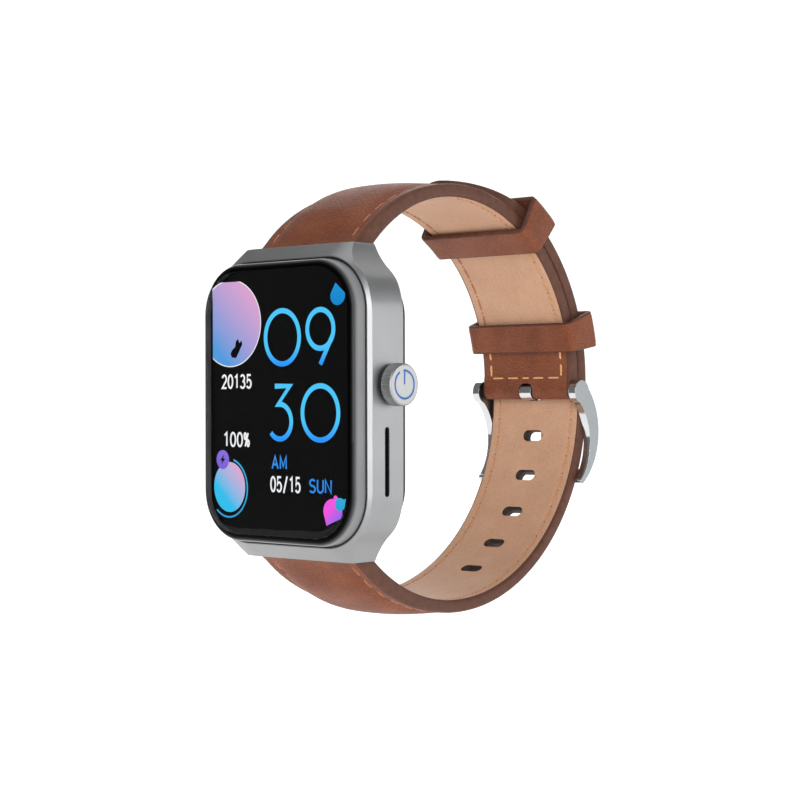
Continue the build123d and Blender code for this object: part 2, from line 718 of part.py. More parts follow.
with BuildPart() as buckle_tongue:
    # one bent strip: out through the strap's hole, then down to the cross-bar
    with BuildSketch(Plane.YZ):
        with BuildLine():
            Line((pin_y, 0.6), (55.6, 0.35))
            ThreePointArc((55.6, 0.35), (56.5, -0.1), (56.75, -1.2))
            Line((56.75, -1.2), (56.75, -8.5))
            ThreePointArc((56.75, -8.5), (56.7, -11.5), (56.0, -13.8))
            Line((56.0, -13.8), (56.8, -14.2))
            ThreePointArc((56.8, -14.2), (57.75, -11.5), (57.9, -8.5))
            Line((57.9, -8.5), (57.9, -1.0))
            ThreePointArc((57.9, -1.0), (57.3, 0.9), (55.8, 1.65))
            Line((55.8, 1.65), (pin_y, 2.2))
            Line((pin_y, 2.2), (pin_y, 0.6))
        make_face()
    extrude(amount=1.1, both=True)
    side_cylinder(-1.3, 1.3, 1.45, pin_y, pin_z)
    side_cylinder(-1.5, 1.5, 0.86, pin_y, pin_z, Mode.SUBTRACT)
save(buckle_tongue, "buckle_tongue")
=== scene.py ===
# %% [markdown]
# # A smartwatch on a buckled leather strap
# The hard parts of the watch come from the CAD model, which is loaded as a fixed frame. This
# lesson gives them their finishes, and makes the soft parts again: the two padded strap halves,
# the keepers, the stitching, and the lit screen. Lengths in the cells are millimetres, because
# a watchmaker thinks in them, and one number turns them into Blender's metres.

# %% Load the frame
import bpy
import bmesh
import math
from mathutils import Matrix, Vector


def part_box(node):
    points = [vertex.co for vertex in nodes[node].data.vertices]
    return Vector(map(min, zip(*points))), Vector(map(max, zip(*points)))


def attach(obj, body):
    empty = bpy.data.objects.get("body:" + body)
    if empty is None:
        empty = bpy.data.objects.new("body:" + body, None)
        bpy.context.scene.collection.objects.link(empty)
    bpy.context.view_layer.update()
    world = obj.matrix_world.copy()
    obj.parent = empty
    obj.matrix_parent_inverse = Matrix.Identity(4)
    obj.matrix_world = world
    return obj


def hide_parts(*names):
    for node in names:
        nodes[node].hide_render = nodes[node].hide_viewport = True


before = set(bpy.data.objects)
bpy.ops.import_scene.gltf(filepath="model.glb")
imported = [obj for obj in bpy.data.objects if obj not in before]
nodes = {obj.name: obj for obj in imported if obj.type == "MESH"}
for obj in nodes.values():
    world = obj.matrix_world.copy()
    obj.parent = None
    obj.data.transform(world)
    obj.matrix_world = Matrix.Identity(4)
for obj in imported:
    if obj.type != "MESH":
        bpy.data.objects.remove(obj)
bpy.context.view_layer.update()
MM = 0.001

# %% [markdown]
# ## Camera
# A product shot of a watch is taken with a long lens, level with the middle of the case, from
# the crown side. A long lens keeps the case's edges nearly parallel. An 85 mm lens at 30 cm
# gives a little perspective in the strap and none that the eye notices in the screen.

# %% Camera
azimuth, elevation, roll = math.radians(42.484), math.radians(0.016), math.radians(-0.115)
look = Vector((-math.sin(azimuth) * math.cos(elevation),
               math.cos(azimuth) * math.cos(elevation), -math.sin(elevation)))
level = Vector((math.cos(azimuth), math.sin(azimuth), 0))
upright = level.cross(look)
right = math.cos(roll) * level + math.sin(roll) * upright
up = math.cos(roll) * upright - math.sin(roll) * level
camera_data = bpy.data.cameras.new("camera")
camera_data.lens, camera_data.sensor_width = 85.29, 36
camera_data.clip_start, camera_data.clip_end = 0.01, 20
camera = bpy.data.objects.new("camera", camera_data)
bpy.context.scene.collection.objects.link(camera)
camera.matrix_world = Matrix.LocRotScale(
    Vector((216.23, -219.17, 0.46)) * MM,
    Matrix((right, up, -look)).transposed().to_quaternion(), None)
bpy.context.scene.camera = camera
bpy.context.scene.view_settings.view_transform = "Standard"
print("camera distance mm", round(camera.location.length / MM, 1))

# %% [markdown]
# ## Studio
# Every piece made here starts as a list of points in millimetres, so one helper turns points
# and faces into an object. The studio light of a product shot comes from large soft boxes. A
# soft box could be a glowing plane, but an area light is sampled directly, so it is less noisy.

# %% Studio helpers
def new_object(name, verts, faces, smooth=True):
    """Makes a mesh object from points in millimetres."""
    mesh = bpy.data.meshes.new(name)
    mesh.from_pydata([Vector(v) * MM for v in verts], [], faces)
    mesh.validate()
    mesh.polygons.foreach_set("use_smooth", [smooth] * len(mesh.polygons))
    made = bpy.data.objects.new(name, mesh)
    bpy.context.scene.collection.objects.link(made)
    return made


def soft_panel(name, place, aim, power, size=300):
    """A soft box: a square area light at a place, turned towards a point."""
    data = bpy.data.lights.new(name, "AREA")
    data.shape, data.size, data.energy = "SQUARE", size * MM, power
    lamp = bpy.data.objects.new(name, data)
    lamp.location = Vector(place) * MM
    lamp.rotation_euler = (Vector(aim) - Vector(place)).to_track_quat("-Z", "Y").to_euler()
    bpy.context.scene.collection.objects.link(lamp)


print("Blender units in one millimetre", MM)

# %% [markdown]
# The background is a white sweep: a floor that curves up into a wall, so there is no horizon.
# It is one profile drawn out sideways. On the screen's side it ends just outside the view, so
# that the polished glass has little white to reflect. Bright metal does need something to
# reflect. One soft box is above and behind the camera, one is at the left, one overhead and one
# behind the watch, and one at the right lights the side of the case that has the crown. The
# gaps between them stay dim, which keeps the metal from going flat.

# %% Sweep and lights
floor_z, wall_top, wall_depth, bend_radius, bend_steps = -38.2, 1500, 500, 300, 12
view_slope = 0.21                  # half the sensor's width over the focal length
camera_distance, nearest_depth, side_margin, far_side = 308, -250, 30, 1300
sweep_profile = [(-900, floor_z), (wall_depth, floor_z)]
for step in range(bend_steps + 1):
    turn = math.radians(90 * step / bend_steps)
    sweep_profile.append((wall_depth + bend_radius * math.sin(turn),
                          floor_z + bend_radius * (1 - math.cos(turn))))
sweep_profile.append((wall_depth + bend_radius, wall_top))
view_turn = Matrix.Rotation(azimuth, 3, "Z")
sweep_verts, sweep_faces = [], []
for depth, height in sweep_profile:
    near_side = -side_margin - view_slope * (camera_distance + max(depth, nearest_depth))
    for across in (near_side, far_side):
        sweep_verts.append(view_turn @ Vector((across, depth, height)))
for row in range(len(sweep_profile) - 1):
    sweep_faces.append((2 * row, 2 * row + 1, 2 * row + 3, 2 * row + 2))
sweep = new_object("studio_sweep", sweep_verts, sweep_faces)

sky = bpy.data.worlds.new("studio_air")
bpy.context.scene.world = sky
sky.use_nodes = True
sky.node_tree.nodes["Background"].inputs["Color"].default_value = (1, 1, 1, 1)
sky.node_tree.nodes["Background"].inputs["Strength"].default_value = 0.2

for name, place, aim, power in (("key_panel", (330, -360, 120), (5, 15, 0), 1.6),
                                ("left_panel", (-420, 60, -20), (0, 20, 0), 1.0),
                                ("top_panel", (-60, 60, 420), (0, 20, 0), 0.5),
                                ("back_panel", (-260, 380, 180), (0, 30, 0), 0.5),
                                ("crown_side_panel", (420, 330, 20), (0, 20, 0), 0.6)):
    soft_panel(name, place, aim, power)
print("sweep faces", len(sweep_faces), "lights", len(bpy.data.lights))

# %% [markdown]
# ## Colours and nodes
# Colours are written as the hex values a designer would note from a swatch. A renderer works
# with linear light, so one function turns sRGB into linear. A second one adds a shader node
# with its settings and links, so that each material below reads as a recipe.

# %% Colour and node helpers
MIX_A, MIX_B, MIX_OUT = 6, 7, 2    # where a Mix node keeps its colour sockets


def linear(hex_colour):
    """sRGB hex to linear RGBA."""
    channels = [int(hex_colour[i:i + 2], 16) / 255 for i in (1, 3, 5)]
    lit = [c / 12.92 if c <= 0.04045 else ((c + 0.055) / 1.055) ** 2.4 for c in channels]
    return (*lit, 1.0)


def add(tree, kind, links=None, **settings):
    """Adds a shader node. A setting with a socket's name sets it; links feed its sockets."""
    made = tree.nodes.new(kind)
    for key, value in settings.items():
        if hasattr(made, key):
            setattr(made, key, value)
        else:
            made.inputs[key.replace("_", " ")].default_value = value
    for socket, source in (links or {}).items():
        tree.links.new(source, made.inputs[socket])
    return made


def new_material(name, **shader_settings):
    """A material with one Principled shader. Returns the material, its tree and the shader."""
    material = bpy.data.materials.new(name)
    material.use_nodes = True
    tree = material.node_tree
    shader = tree.nodes["Principled BSDF"]
    for key, value in shader_settings.items():
        shader.inputs[key.replace("_", " ")].default_value = value
    return material, tree, shader


print("mid grey in linear light", round(linear("#808080")[0], 3))

# %% [markdown]
# Surface detail could be painted as images, but a procedural pattern stays sharp at any
# distance and has a real size: noise in object space, whose scale is one over the size of the
# real grain. A bump gives the grain relief, and a bevel in the shading rounds each sharp edge.

# %% Pattern helpers
def object_space(tree):
    """Object coordinates, which are the real place in metres."""
    return add(tree, "ShaderNodeTexCoord").outputs["Object"]


def noise(tree, size_mm, detail=3.0, roughness=0.5):
    """Noise whose blobs are about size_mm across."""
    made = add(tree, "ShaderNodeTexNoise", {"Vector": object_space(tree)},
               Scale=1 / (size_mm * MM), Detail=detail)
    made.inputs["Roughness"].default_value = roughness
    return made.outputs["Fac"]


def ramp(tree, factor, stops):
    """A colour ramp with (position, colour) stops."""
    made = add(tree, "ShaderNodeValToRGB", {"Fac": factor})
    elements = made.color_ramp.elements
    elements[0].position, elements[0].color = stops[0]
    elements[1].position, elements[1].color = stops[-1]
    for position, colour in stops[1:-1]:
        elements.new(position).color = colour
    return made.outputs["Color"]


def spread(tree, factor, low, high):
    """Maps 0..1 to a range."""
    made = add(tree, "ShaderNodeMapRange", {"Value": factor})
    made.inputs["To Min"].default_value, made.inputs["To Max"].default_value = low, high
    return made.outputs["Result"]


def bump(tree, height, depth_mm, strength=1.0, before=None):
    """A bump whose full height is depth_mm."""
    links = {"Height": height}
    if before:
        links["Normal"] = before
    return add(tree, "ShaderNodeBump", links, Strength=strength,
               Distance=depth_mm * MM).outputs["Normal"]


def soft_edges(tree, radius_mm):
    """Rounds sharp edges in the shading, as tumbling and blasting do on the real part."""
    return add(tree, "ShaderNodeBevel", samples=4, Radius=radius_mm * MM).outputs["Normal"]


print("pattern helpers", [helper.__name__ for helper in (noise, ramp, spread, bump, soft_edges)])

# %% [markdown]
# ## Leather
# The strap is oiled calf leather. Its surface is small pebbles with creases between them, about
# 0.5 mm across. The colour is darker in the creases and a little lighter on the high pebbles, so
# colour and height come from the same cell pattern, and a finer noise breaks up the gloss. A
# larger, slow variation of colour is the pull-up of the oil. The lining is a smoother
# vegetable-tanned split with a finer grain.

# %% Leather materials
def leather(name, deep, middle, rubbed, pebble_mm, relief_mm, gloss):
    """Grained leather from three shades of one dye."""
    material, tree, shader = new_material(name, Roughness=gloss, Specular_IOR_Level=0.28,
                                          Sheen_Weight=0.04, Sheen_Roughness=0.5)
    cells = add(tree, "ShaderNodeTexVoronoi", {"Vector": object_space(tree)},
                feature="DISTANCE_TO_EDGE", Scale=1 / (pebble_mm * MM))
    pebbles = ramp(tree, cells.outputs["Distance"], [(0.0, (0, 0, 0, 1)), (0.28, (1, 1, 1, 1))])
    oil = noise(tree, 6.0, 4.0, 0.55)
    fine = noise(tree, 0.25, 2.0)
    dye = ramp(tree, oil, [(0.25, linear(deep)), (0.5, linear(middle)), (0.78, linear(rubbed))])
    crease = spread(tree, pebbles, 0.82, 1.04)
    colour = add(tree, "ShaderNodeMix", data_type="RGBA", blend_type="MULTIPLY")
    colour.inputs["Factor"].default_value = 1.0
    tree.links.new(dye, colour.inputs[MIX_A])
    tree.links.new(crease, colour.inputs[MIX_B])
    tree.links.new(colour.outputs[MIX_OUT], shader.inputs["Base Color"])
    tree.links.new(spread(tree, fine, gloss - 0.08, gloss + 0.14), shader.inputs["Roughness"])
    normal = bump(tree, pebbles, relief_mm, 0.8)
    tree.links.new(bump(tree, fine, relief_mm * 0.5, 0.35, normal), shader.inputs["Normal"])
    return material


brown_leather = leather("brown_oiled_calf", "#723a20", "#824528", "#915332", 0.55, 0.09, 0.5)
tan_leather = leather("tan_lining_leather", "#cc9f82", "#d2a687", "#d8ad90", 0.3, 0.012, 0.62)
print("leathers", brown_leather.name, tan_leather.name)

# %% [markdown]
# The cut edges of a strap are sanded and sealed with several coats of dark paint. Brushed paint
# is never quite level, so a slow wave of about a millimetre gives it relief and two shades.

# %% Edge paint
def edge_paint():
    """Dark paint on the cut edges, slightly wavy, with a low gloss."""
    material, tree, shader = new_material("painted_leather_edge", Roughness=0.56,
                                          Specular_IOR_Level=0.25)
    wave = noise(tree, 1.2, 3.0)
    tree.links.new(ramp(tree, wave, [(0.3, linear("#573629")), (0.75, linear("#664235"))]),
                   shader.inputs["Base Color"])
    tree.links.new(bump(tree, wave, 0.05, 0.6), shader.inputs["Normal"])
    return material


edge_leather = edge_paint()
print("edge", edge_leather.name)

# %% [markdown]
# Sewing thread is bonded polyester, 0.4 mm thick, in three twisted strands. The twist is too
# fine to draw strand by strand, so a pattern of bands 0.4 mm apart stands for it.

# %% Thread materials
twist_scale = 900.0                # for diagonal bands this gives one every 0.4 mm


def thread(name, dark, light):
    """Twisted bonded thread."""
    material, tree, shader = new_material(name, Roughness=0.6, Sheen_Weight=0.2, IOR=1.5)
    twist = add(tree, "ShaderNodeTexWave", {"Vector": object_space(tree)},
                Scale=twist_scale, Distortion=1.5, bands_direction="DIAGONAL")
    tree.links.new(ramp(tree, twist.outputs["Fac"], [(0.2, linear(dark)), (0.8, linear(light))]),
                   shader.inputs["Base Color"])
    tree.links.new(bump(tree, twist.outputs["Fac"], 0.04, 0.5), shader.inputs["Normal"])
    return material


rust_thread = thread("rust_thread", "#9a5230", "#be6f42")
orange_thread = thread("orange_tan_thread", "#c08355", "#d79b69")
rusty_thread = thread("rust_tan_thread", "#a3623c", "#b9764c")
peach_thread = thread("peach_thread", "#d99a66", "#f0bb88")
print("threads", [made.name for made in (rust_thread, orange_thread, rusty_thread, peach_thread)])

# %% [markdown]
# ## Metals
# The case is machined aluminium, bead-blasted and clear anodised. Blasting leaves pits of about
# 0.05 mm, which spread a highlight softly and evenly. The buckle is stainless steel, polished
# on its edges and brushed on its flat sides. A bare metal has no diffuse colour: all of its look
# is reflection, so metallic is 1 and only roughness and a little bump tell one finish from
# another.

# %% Metal materials
def blasted_aluminium(name, colour, worn, rough):
    """Bead-blasted, clear anodised aluminium. The grit is drawn at 0.12 mm so that it shows."""
    material, tree, shader = new_material(name, Metallic=1.0, Roughness=rough)
    grit = noise(tree, 0.12, 2.0)
    smear = noise(tree, 9.0, 3.0)
    tree.links.new(ramp(tree, smear, [(0.3, linear(colour)), (0.8, linear(worn))]),
                   shader.inputs["Base Color"])
    tree.links.new(spread(tree, grit, rough - 0.05, rough + 0.08), shader.inputs["Roughness"])
    tree.links.new(bump(tree, grit, 0.006, 0.5, soft_edges(tree, 0.12)), shader.inputs["Normal"])
    return material


def plain_steel(name, colour, rough, grain_mm=0.08, relief_mm=0.004):
    """Steel with a fine random grain."""
    material, tree, shader = new_material(name, Base_Color=linear(colour), Metallic=1.0,
                                          Roughness=rough)
    grain = noise(tree, grain_mm, 3.0)
    tree.links.new(spread(tree, grain, rough * 0.7, rough * 1.4), shader.inputs["Roughness"])
    tree.links.new(bump(tree, grain, relief_mm, 0.4, soft_edges(tree, 0.06)),
                   shader.inputs["Normal"])
    return material


def buckle_steel():
    """Stainless steel: brushed on the flat sides, which face along X, polished elsewhere."""
    material, tree, shader = new_material("buckle_steel", Metallic=1.0, Roughness=0.1)
    facing = add(tree, "ShaderNodeSeparateXYZ",
                 {"Vector": add(tree, "ShaderNodeTexCoord").outputs["Normal"]}).outputs["X"]
    sideways = add(tree, "ShaderNodeMath", {0: facing}, operation="ABSOLUTE").outputs[0]
    side = ramp(tree, sideways, [(0.85, (0, 0, 0, 1)), (0.97, (1, 1, 1, 1))])
    stretched = add(tree, "ShaderNodeMapping", {"Vector": object_space(tree)})
    stretched.inputs["Scale"].default_value = (1, 7, 0.6)
    lines = add(tree, "ShaderNodeTexNoise", {"Vector": stretched.outputs["Vector"]},
                Scale=1 / (0.5 * MM), Detail=3.0).outputs["Fac"]
    colour = add(tree, "ShaderNodeMix", {"Factor": side}, data_type="RGBA")
    colour.inputs[MIX_A].default_value = linear("#cfd1d3")
    colour.inputs[MIX_B].default_value = linear("#9a9fa1")
    tree.links.new(colour.outputs[MIX_OUT], shader.inputs["Base Color"])
    tree.links.new(spread(tree, side, 0.09, 0.34), shader.inputs["Roughness"])
    tree.links.new(bump(tree, lines, 0.006, 0.35, soft_edges(tree, 0.1)),
                   shader.inputs["Normal"])
    return material


case_metal = blasted_aluminium("blasted_anodised_aluminium", "#9b9c9d", "#a4a5a6", 0.42)
crown_metal = blasted_aluminium("turned_anodised_aluminium", "#a6a7a7", "#afb0b0", 0.36)
buckle_metal = buckle_steel()
bright_steel = plain_steel("polished_stainless_steel", "#c9cbcc", 0.16)
dull_steel = plain_steel("satin_stainless_steel", "#a3a6a8", 0.34)
gold_plate = plain_steel("gold_plated_brass", "#d9b06a", 0.22)
pouch_foil = plain_steel("battery_pouch_foil", "#aeb2b8", 0.42, 1.5, 0.08)
print("metals", [made.name for made in (case_metal, crown_metal, buckle_metal, bright_steel,
                                        dull_steel, gold_plate, pouch_foil)])

# %% [markdown]
# ## Plastics, rubber, glass and enamel
# Moulded plastics carry the fine spark-eroded grain of their mould, about 0.15 mm across.
# The window over the sensors is black-dyed, polished glass. The mark in the crown is enamel,
# filled in and ground flush with the metal, so it is only half glossy.

# %% Plastic, rubber and enamel materials
def moulded(name, colour, rough, grain_mm=0.15, relief_mm=0.01, **extra):
    """Injection-moulded part with a fine mould grain."""
    material, tree, shader = new_material(name, Base_Color=linear(colour), IOR=1.5, **extra)
    grain = noise(tree, grain_mm, 3.0)
    tree.links.new(spread(tree, grain, rough - 0.06, rough + 0.08), shader.inputs["Roughness"])
    tree.links.new(bump(tree, grain, relief_mm, 0.5, soft_edges(tree, 0.08)),
                   shader.inputs["Normal"])
    return material


black_abs = moulded("black_abs", "#131314", 0.42)
grille_mesh = moulded("black_acoustic_mesh", "#020202", 0.92, 0.3, 0.05,
                      Specular_IOR_Level=0.1)
back_polycarbonate = moulded("grained_polycarbonate", "#1b1b1d", 0.46, 0.2, 0.02)
nitrile_rubber = moulded("nitrile_rubber", "#0c0c0d", 0.6, 0.25, 0.015)
solder_mask = moulded("green_solder_mask", "#0f5a34", 0.3, 0.6, 0.02)
polyimide = moulded("polyimide_film", "#a8641c", 0.3)
sensor_glass = moulded("black_sensor_glass", "#08080a", 0.08, 2.0, 0.0005, Coat_Weight=1.0)
blue_enamel = moulded("blue_enamel", "#1464b4", 0.5, 0.4, 0.003)
display_black = moulded("black_display_panel", "#010102", 0.3, 3.0, 0.001,
                        Specular_IOR_Level=0.04)
white_vinyl = moulded("white_vinyl_sweep", "#b4b4b4", 0.8, 4.0, 0.05, Emission_Strength=0.9,
                      Emission_Color=(1, 1, 1, 1))
sweep.data.materials.append(white_vinyl)
print("mouldings", [made.name for made in (black_abs, back_polycarbonate, nitrile_rubber,
                                           white_vinyl)])

# %% [markdown]
# The cover glass is clear in the middle and printed black underneath near its edge, so that the
# rim of the screen and the glue can't be seen. Looking through clear glass at a black layer
# gives the deep, wet black of a switched-off screen. The print is in the material: inside the
# window the shader transmits, and outside it is black glass. Over the last 0.8 mm the black
# turns grey, a painted reflection of the light along the curved rim. The glass has an
# anti-reflective coating, as watch glasses do, and that takes its reflection from four per cent
# down to about one. One per cent is what a plain surface with an index of 1.2 reflects, so that is
# the index set here.

# %% Glass material
def printed_glass(window_half_width, window_half_length, corner):
    """Polished glass, clear inside a rounded window and backed with black print outside it."""
    material, tree, shader = new_material("printed_cover_glass", IOR=1.2, Roughness=0.02,
                                          Base_Color=(0.9, 0.91, 0.92, 1))
    place = add(tree, "ShaderNodeSeparateXYZ", {"Vector": object_space(tree)})
    reach = []
    for axis, half in (("X", window_half_width), ("Z", window_half_length)):
        size = add(tree, "ShaderNodeMath", {0: place.outputs[axis]}, operation="ABSOLUTE")
        over = add(tree, "ShaderNodeMath", {0: size.outputs[0]}, operation="SUBTRACT")
        over.inputs[1].default_value = (half - corner) * MM
        reach.append(add(tree, "ShaderNodeMath", {0: over.outputs[0]}, operation="MAXIMUM"))
        reach[-1].inputs[1].default_value = 0.0
    across = add(tree, "ShaderNodeCombineXYZ", {"X": reach[0].outputs[0],
                                                "Y": reach[1].outputs[0]})
    out = add(tree, "ShaderNodeVectorMath", {0: across.outputs[0]}, operation="LENGTH")
    clear = add(tree, "ShaderNodeMath", {0: out.outputs["Value"]}, operation="LESS_THAN")
    clear.inputs[1].default_value = corner * MM
    edge = add(tree, "ShaderNodeMapRange", {"Value": out.outputs["Value"]})
    edge.inputs["From Min"].default_value = (corner + 0.35) * MM
    edge.inputs["From Max"].default_value = (corner + 1.15) * MM
    # Painted reflection: the black print turns grey towards the rim, in place of the light that
    # the curved edge reflects.
    painted_rim_reflection = ramp(tree, edge.outputs["Result"],
                   [(0.0, linear("#040405")), (0.35, linear("#121213")),
                    (0.75, linear("#4a4a4b")), (1.0, linear("#858687"))])
    colour = add(tree, "ShaderNodeMix", {"Factor": clear.outputs[0], MIX_A: painted_rim_reflection},
                 data_type="RGBA")
    colour.inputs[MIX_B].default_value = (0.96, 0.96, 0.97, 1)
    tree.links.new(colour.outputs[MIX_OUT], shader.inputs["Base Color"])
    tree.links.new(clear.outputs[0], shader.inputs["Transmission Weight"])
    tree.links.new(spread(tree, edge.outputs["Result"], 0.1, 0.5),
                   shader.inputs["Specular IOR Level"])
    faint = noise(tree, 14.0, 2.0)
    tree.links.new(bump(tree, faint, 0.01, 0.15), shader.inputs["Normal"])
    return material


cover_glass = printed_glass(window_half_width=16.0, window_half_length=21.1, corner=7.0)
print("glass", cover_glass.name)

# %% [markdown]
# ## Finishes on the CAD parts
# Each hard node keeps its shape and gets the finish of the real part. The facets of a curved
# face are smoothed in the shading: the points where two facets meet are welded, and edges
# sharper than 30 degrees are split, so they stay sharp. Normals are weighted by area, so a
# large flat face stays flat right up to its rounded edge.

# %% Assign finishes
finishes = {
    case_metal: ["case_frame"],
    crown_metal: ["crown_knob"],
    blue_enamel: ["crown_inlay"],
    cover_glass: ["cover_glass"],
    nitrile_rubber: ["glass_gasket", "back_cover_seal", "crown_seals"],
    display_black: ["display_panel"],
    black_abs: ["speaker", "inner_chassis", "encoder_wheel", "encoder_sensor",
                "crown_plunger", "sensor_leds"],
    grille_mesh: ["slot_grille"],
    back_polycarbonate: ["back_cover"],
    sensor_glass: ["sensor_window"],
    solder_mask: ["main_board", "sensor_board"],
    polyimide: ["display_flex"],
    pouch_foil: ["battery"],
    gold_plate: ["charge_contacts"],
    dull_steel: ["shield_can", "microphone", "vibration_motor", "back_cover_screws",
                 "crown_tube", "crown_stem", "crown_c_clip", "crown_switch", "buckle_bar",
                 "buckle_bar_tips", "upper_spring_bar_tube", "lower_spring_bar_tube",
                 "upper_spring_bar_fixed_tip", "lower_spring_bar_fixed_tip",
                 "upper_bar_spring", "lower_bar_spring"],
    bright_steel: ["upper_release_pin", "lower_release_pin"],
    buckle_metal: ["buckle_frame", "buckle_tongue"],
}
same_point, sharp_angle = 1e-6, math.radians(30)
for finish, names in finishes.items():
    for name in names:
        node = nodes[name]
        if not node.material_slots:
            node.data.materials.append(finish)
        for material_slot in node.material_slots:
            material_slot.material = finish
        for mark in ("custom_normal", "sharp_edge"):
            if mark in node.data.attributes:
                node.data.attributes.remove(node.data.attributes[mark])
        weld = node.modifiers.new("weld", "WELD")
        weld.merge_threshold = same_point
        node.data.polygons.foreach_set("use_smooth", [True] * len(node.data.polygons))
        split = node.modifiers.new("split_sharp_edges", "EDGE_SPLIT")
        split.split_angle, split.use_edge_sharp = sharp_angle, False
        even_out = node.modifiers.new("even_shading", "WEIGHTED_NORMAL")
        even_out.mode, even_out.weight = "FACE_AREA", 100
print("finished", sum(len(names) for names in finishes.values()), "nodes")

# %% [markdown]
# ## The line of the strap
# Both halves are flat strips bent round the wrist, so their inner faces are arcs. A route is a
# list of stations along that inner face: a point (y, z), the outward direction there, and the
# distance run so far. Everything on the strap is placed by its station, so a stitch or a hole
# sits square on the leather wherever it falls.

# %% Routes
upper_centre, upper_radius = (20.75, 3.9), 30.3
lower_centre, lower_radius = (20.5, 0.1), 33.0
tail_radius, tail_end = 32.75, 80.0
# Angles are in degrees about the arc's centre, and 0 points straight away from the case.
upper_bar_angle, upper_end_angle, lower_bar_angle = 146.6, -0.6, -141.2
pin_y, pin_z = 52.0, 1.8
station_step = 0.45


def toward(degrees):
    """The direction in the strap's plane at an angle."""
    return Vector((math.cos(math.radians(degrees)), math.sin(math.radians(degrees))))


def arc_stations(centre, radius, start, end):
    """Stations along an arc."""
    count = max(2, round(abs(math.radians(end - start)) * radius / station_step))
    stations = []
    for index in range(count + 1):
        out = toward(start + (end - start) * index / count)
        stations.append((Vector(centre) + radius * out, out))
    return stations


def line_stations(start, end, out):
    """Stations along a straight run."""
    start, end = Vector(start), Vector(end)
    count = max(2, round((end - start).length / station_step))
    return [(start.lerp(end, index / count), Vector(out)) for index in range(1, count)]


def with_distance(stations):
    """Adds the distance run to each station."""
    run, before, measured = 0.0, stations[0][0], []
    for place, out in stations:
        run += (place - before).length
        before = place
        measured.append((place, out, run))
    return measured


upper_route = with_distance(
    arc_stations(upper_centre, upper_radius, upper_bar_angle, upper_end_angle))
flat_y = lower_centre[0] + lower_radius
lower_route = with_distance(
    arc_stations(lower_centre, lower_radius, lower_bar_angle, 0)
    + line_stations((flat_y, lower_centre[1]), (flat_y, upper_centre[1]), (1, 0))
    + arc_stations(upper_centre, tail_radius, 0, tail_end))
print("strap lengths mm", round(upper_route[-1][2], 1), round(lower_route[-1][2], 1))

# %% [markdown]
# ## Cross-section
# A padded strap is thin and flat along its sewn edges and rises over a foam core between them.
# Along each stitch line the thread pulls the leather into a shallow groove. So the section needs
# its points close together at the grooves, and can spread out in the middle.

# %% Widths and grooves
OUTER, EDGE, LINING = 0, 1, 2      # the finish that a point of the section belongs to
lug_half, slim_half, slim_from, slim_over = 11.0, 10.25, -0.9, 21.2
margin = 2.0                       # from the edge to the stitch line
groove_depth, groove_half, lining_groove = 0.16, 0.42, 0.7
edge_round, middle_steps = 0.55, 22


def ease(value, low, high):
    """0 below low, 1 above high, and smooth between."""
    t = min(1.0, max(0.0, (value - low) / (high - low)))
    return t * t * (3 - 2 * t)


def half_width(place):
    """Half the strap's width: full at the lugs, slimmer past a third of the loop."""
    slimmed = min(1.0, max(0.0, (place.x - slim_from) / slim_over))
    return lug_half - (lug_half - slim_half) * slimmed


def across_points(half):
    """Where the section has points across its flat faces, denser at the grooves."""
    line = half - margin
    inner = line - groove_half
    middle = [inner * (-1 + 2 * i / middle_steps) for i in range(middle_steps + 1)]
    groove_points = [line + groove_half * f for f in (-0.5, 0, 0.5, 1)]
    rim = [line + groove_half + (half - edge_round - line - groove_half) * f for f in (0.5, 1)]
    tail = groove_points + rim
    return [-x for x in reversed(tail)] + middle + tail


def groove(x, line):
    """How deep the stitch groove is at x."""
    gap = abs(abs(x) - line) / groove_half
    return groove_depth * (1 + math.cos(math.pi * gap)) / 2 if gap < 1 else 0.0


print("section points across", len(across_points(lug_half)))

# %% [markdown]
# The section is a ring of points: across the outer leather, down one painted edge, back across
# the lining and up the other edge. The swell over the foam is steep at the stitch line and
# nearly flat in the middle, which is how stuffed leather sits. Moving that ring along the route
# gives the strap, and each point's finish says which leather the faces beside it are made of.

# %% Section ring and skin
swell_power, swell_steepness = 2.6, 0.62


def painted_corner(side, rise, half, level, radius):
    """Points round one corner, from the face at that level (rise 1 up, -1 down) to the edge."""
    turns = [math.radians(degrees) for degrees in (30, 60, 90)]
    return [(side * (half - radius + radius * math.sin(turn)),
             level + rise * radius * (math.cos(turn) - 1), EDGE) for turn in turns]


def section(half, bottom, top, swell, grooved=1.0):
    """Ring of (x, height, finish)."""
    line = half - margin
    xs = across_points(half)
    outer = []
    for x in xs:
        rise = 0.0
        if swell > 0 and abs(x) < line - groove_half:
            part = abs(x) / (line - groove_half)
            rise = swell * (1 - part ** swell_power) ** swell_steepness
        outer.append((x, top + rise - grooved * groove(x, line), OUTER))
    lining = [(x, bottom + grooved * groove(x, line) * lining_groove, LINING)
              for x in reversed(xs)]
    radius = min(edge_round, (top - bottom) / 2 * 0.98)
    right_top, left_top = [painted_corner(side, 1, half, top, radius) for side in (1, -1)]
    right_low, left_low = [painted_corner(side, -1, half, bottom, radius) for side in (1, -1)]
    return outer + right_top + right_low[::-1] + lining + left_low + left_top[::-1]


def face_outward(piece):
    """Turns every face's normal to the outside."""
    mesh = bmesh.new()
    mesh.from_mesh(piece.data)
    bmesh.ops.recalc_face_normals(mesh, faces=mesh.faces)
    mesh.to_mesh(piece.data)
    mesh.free()


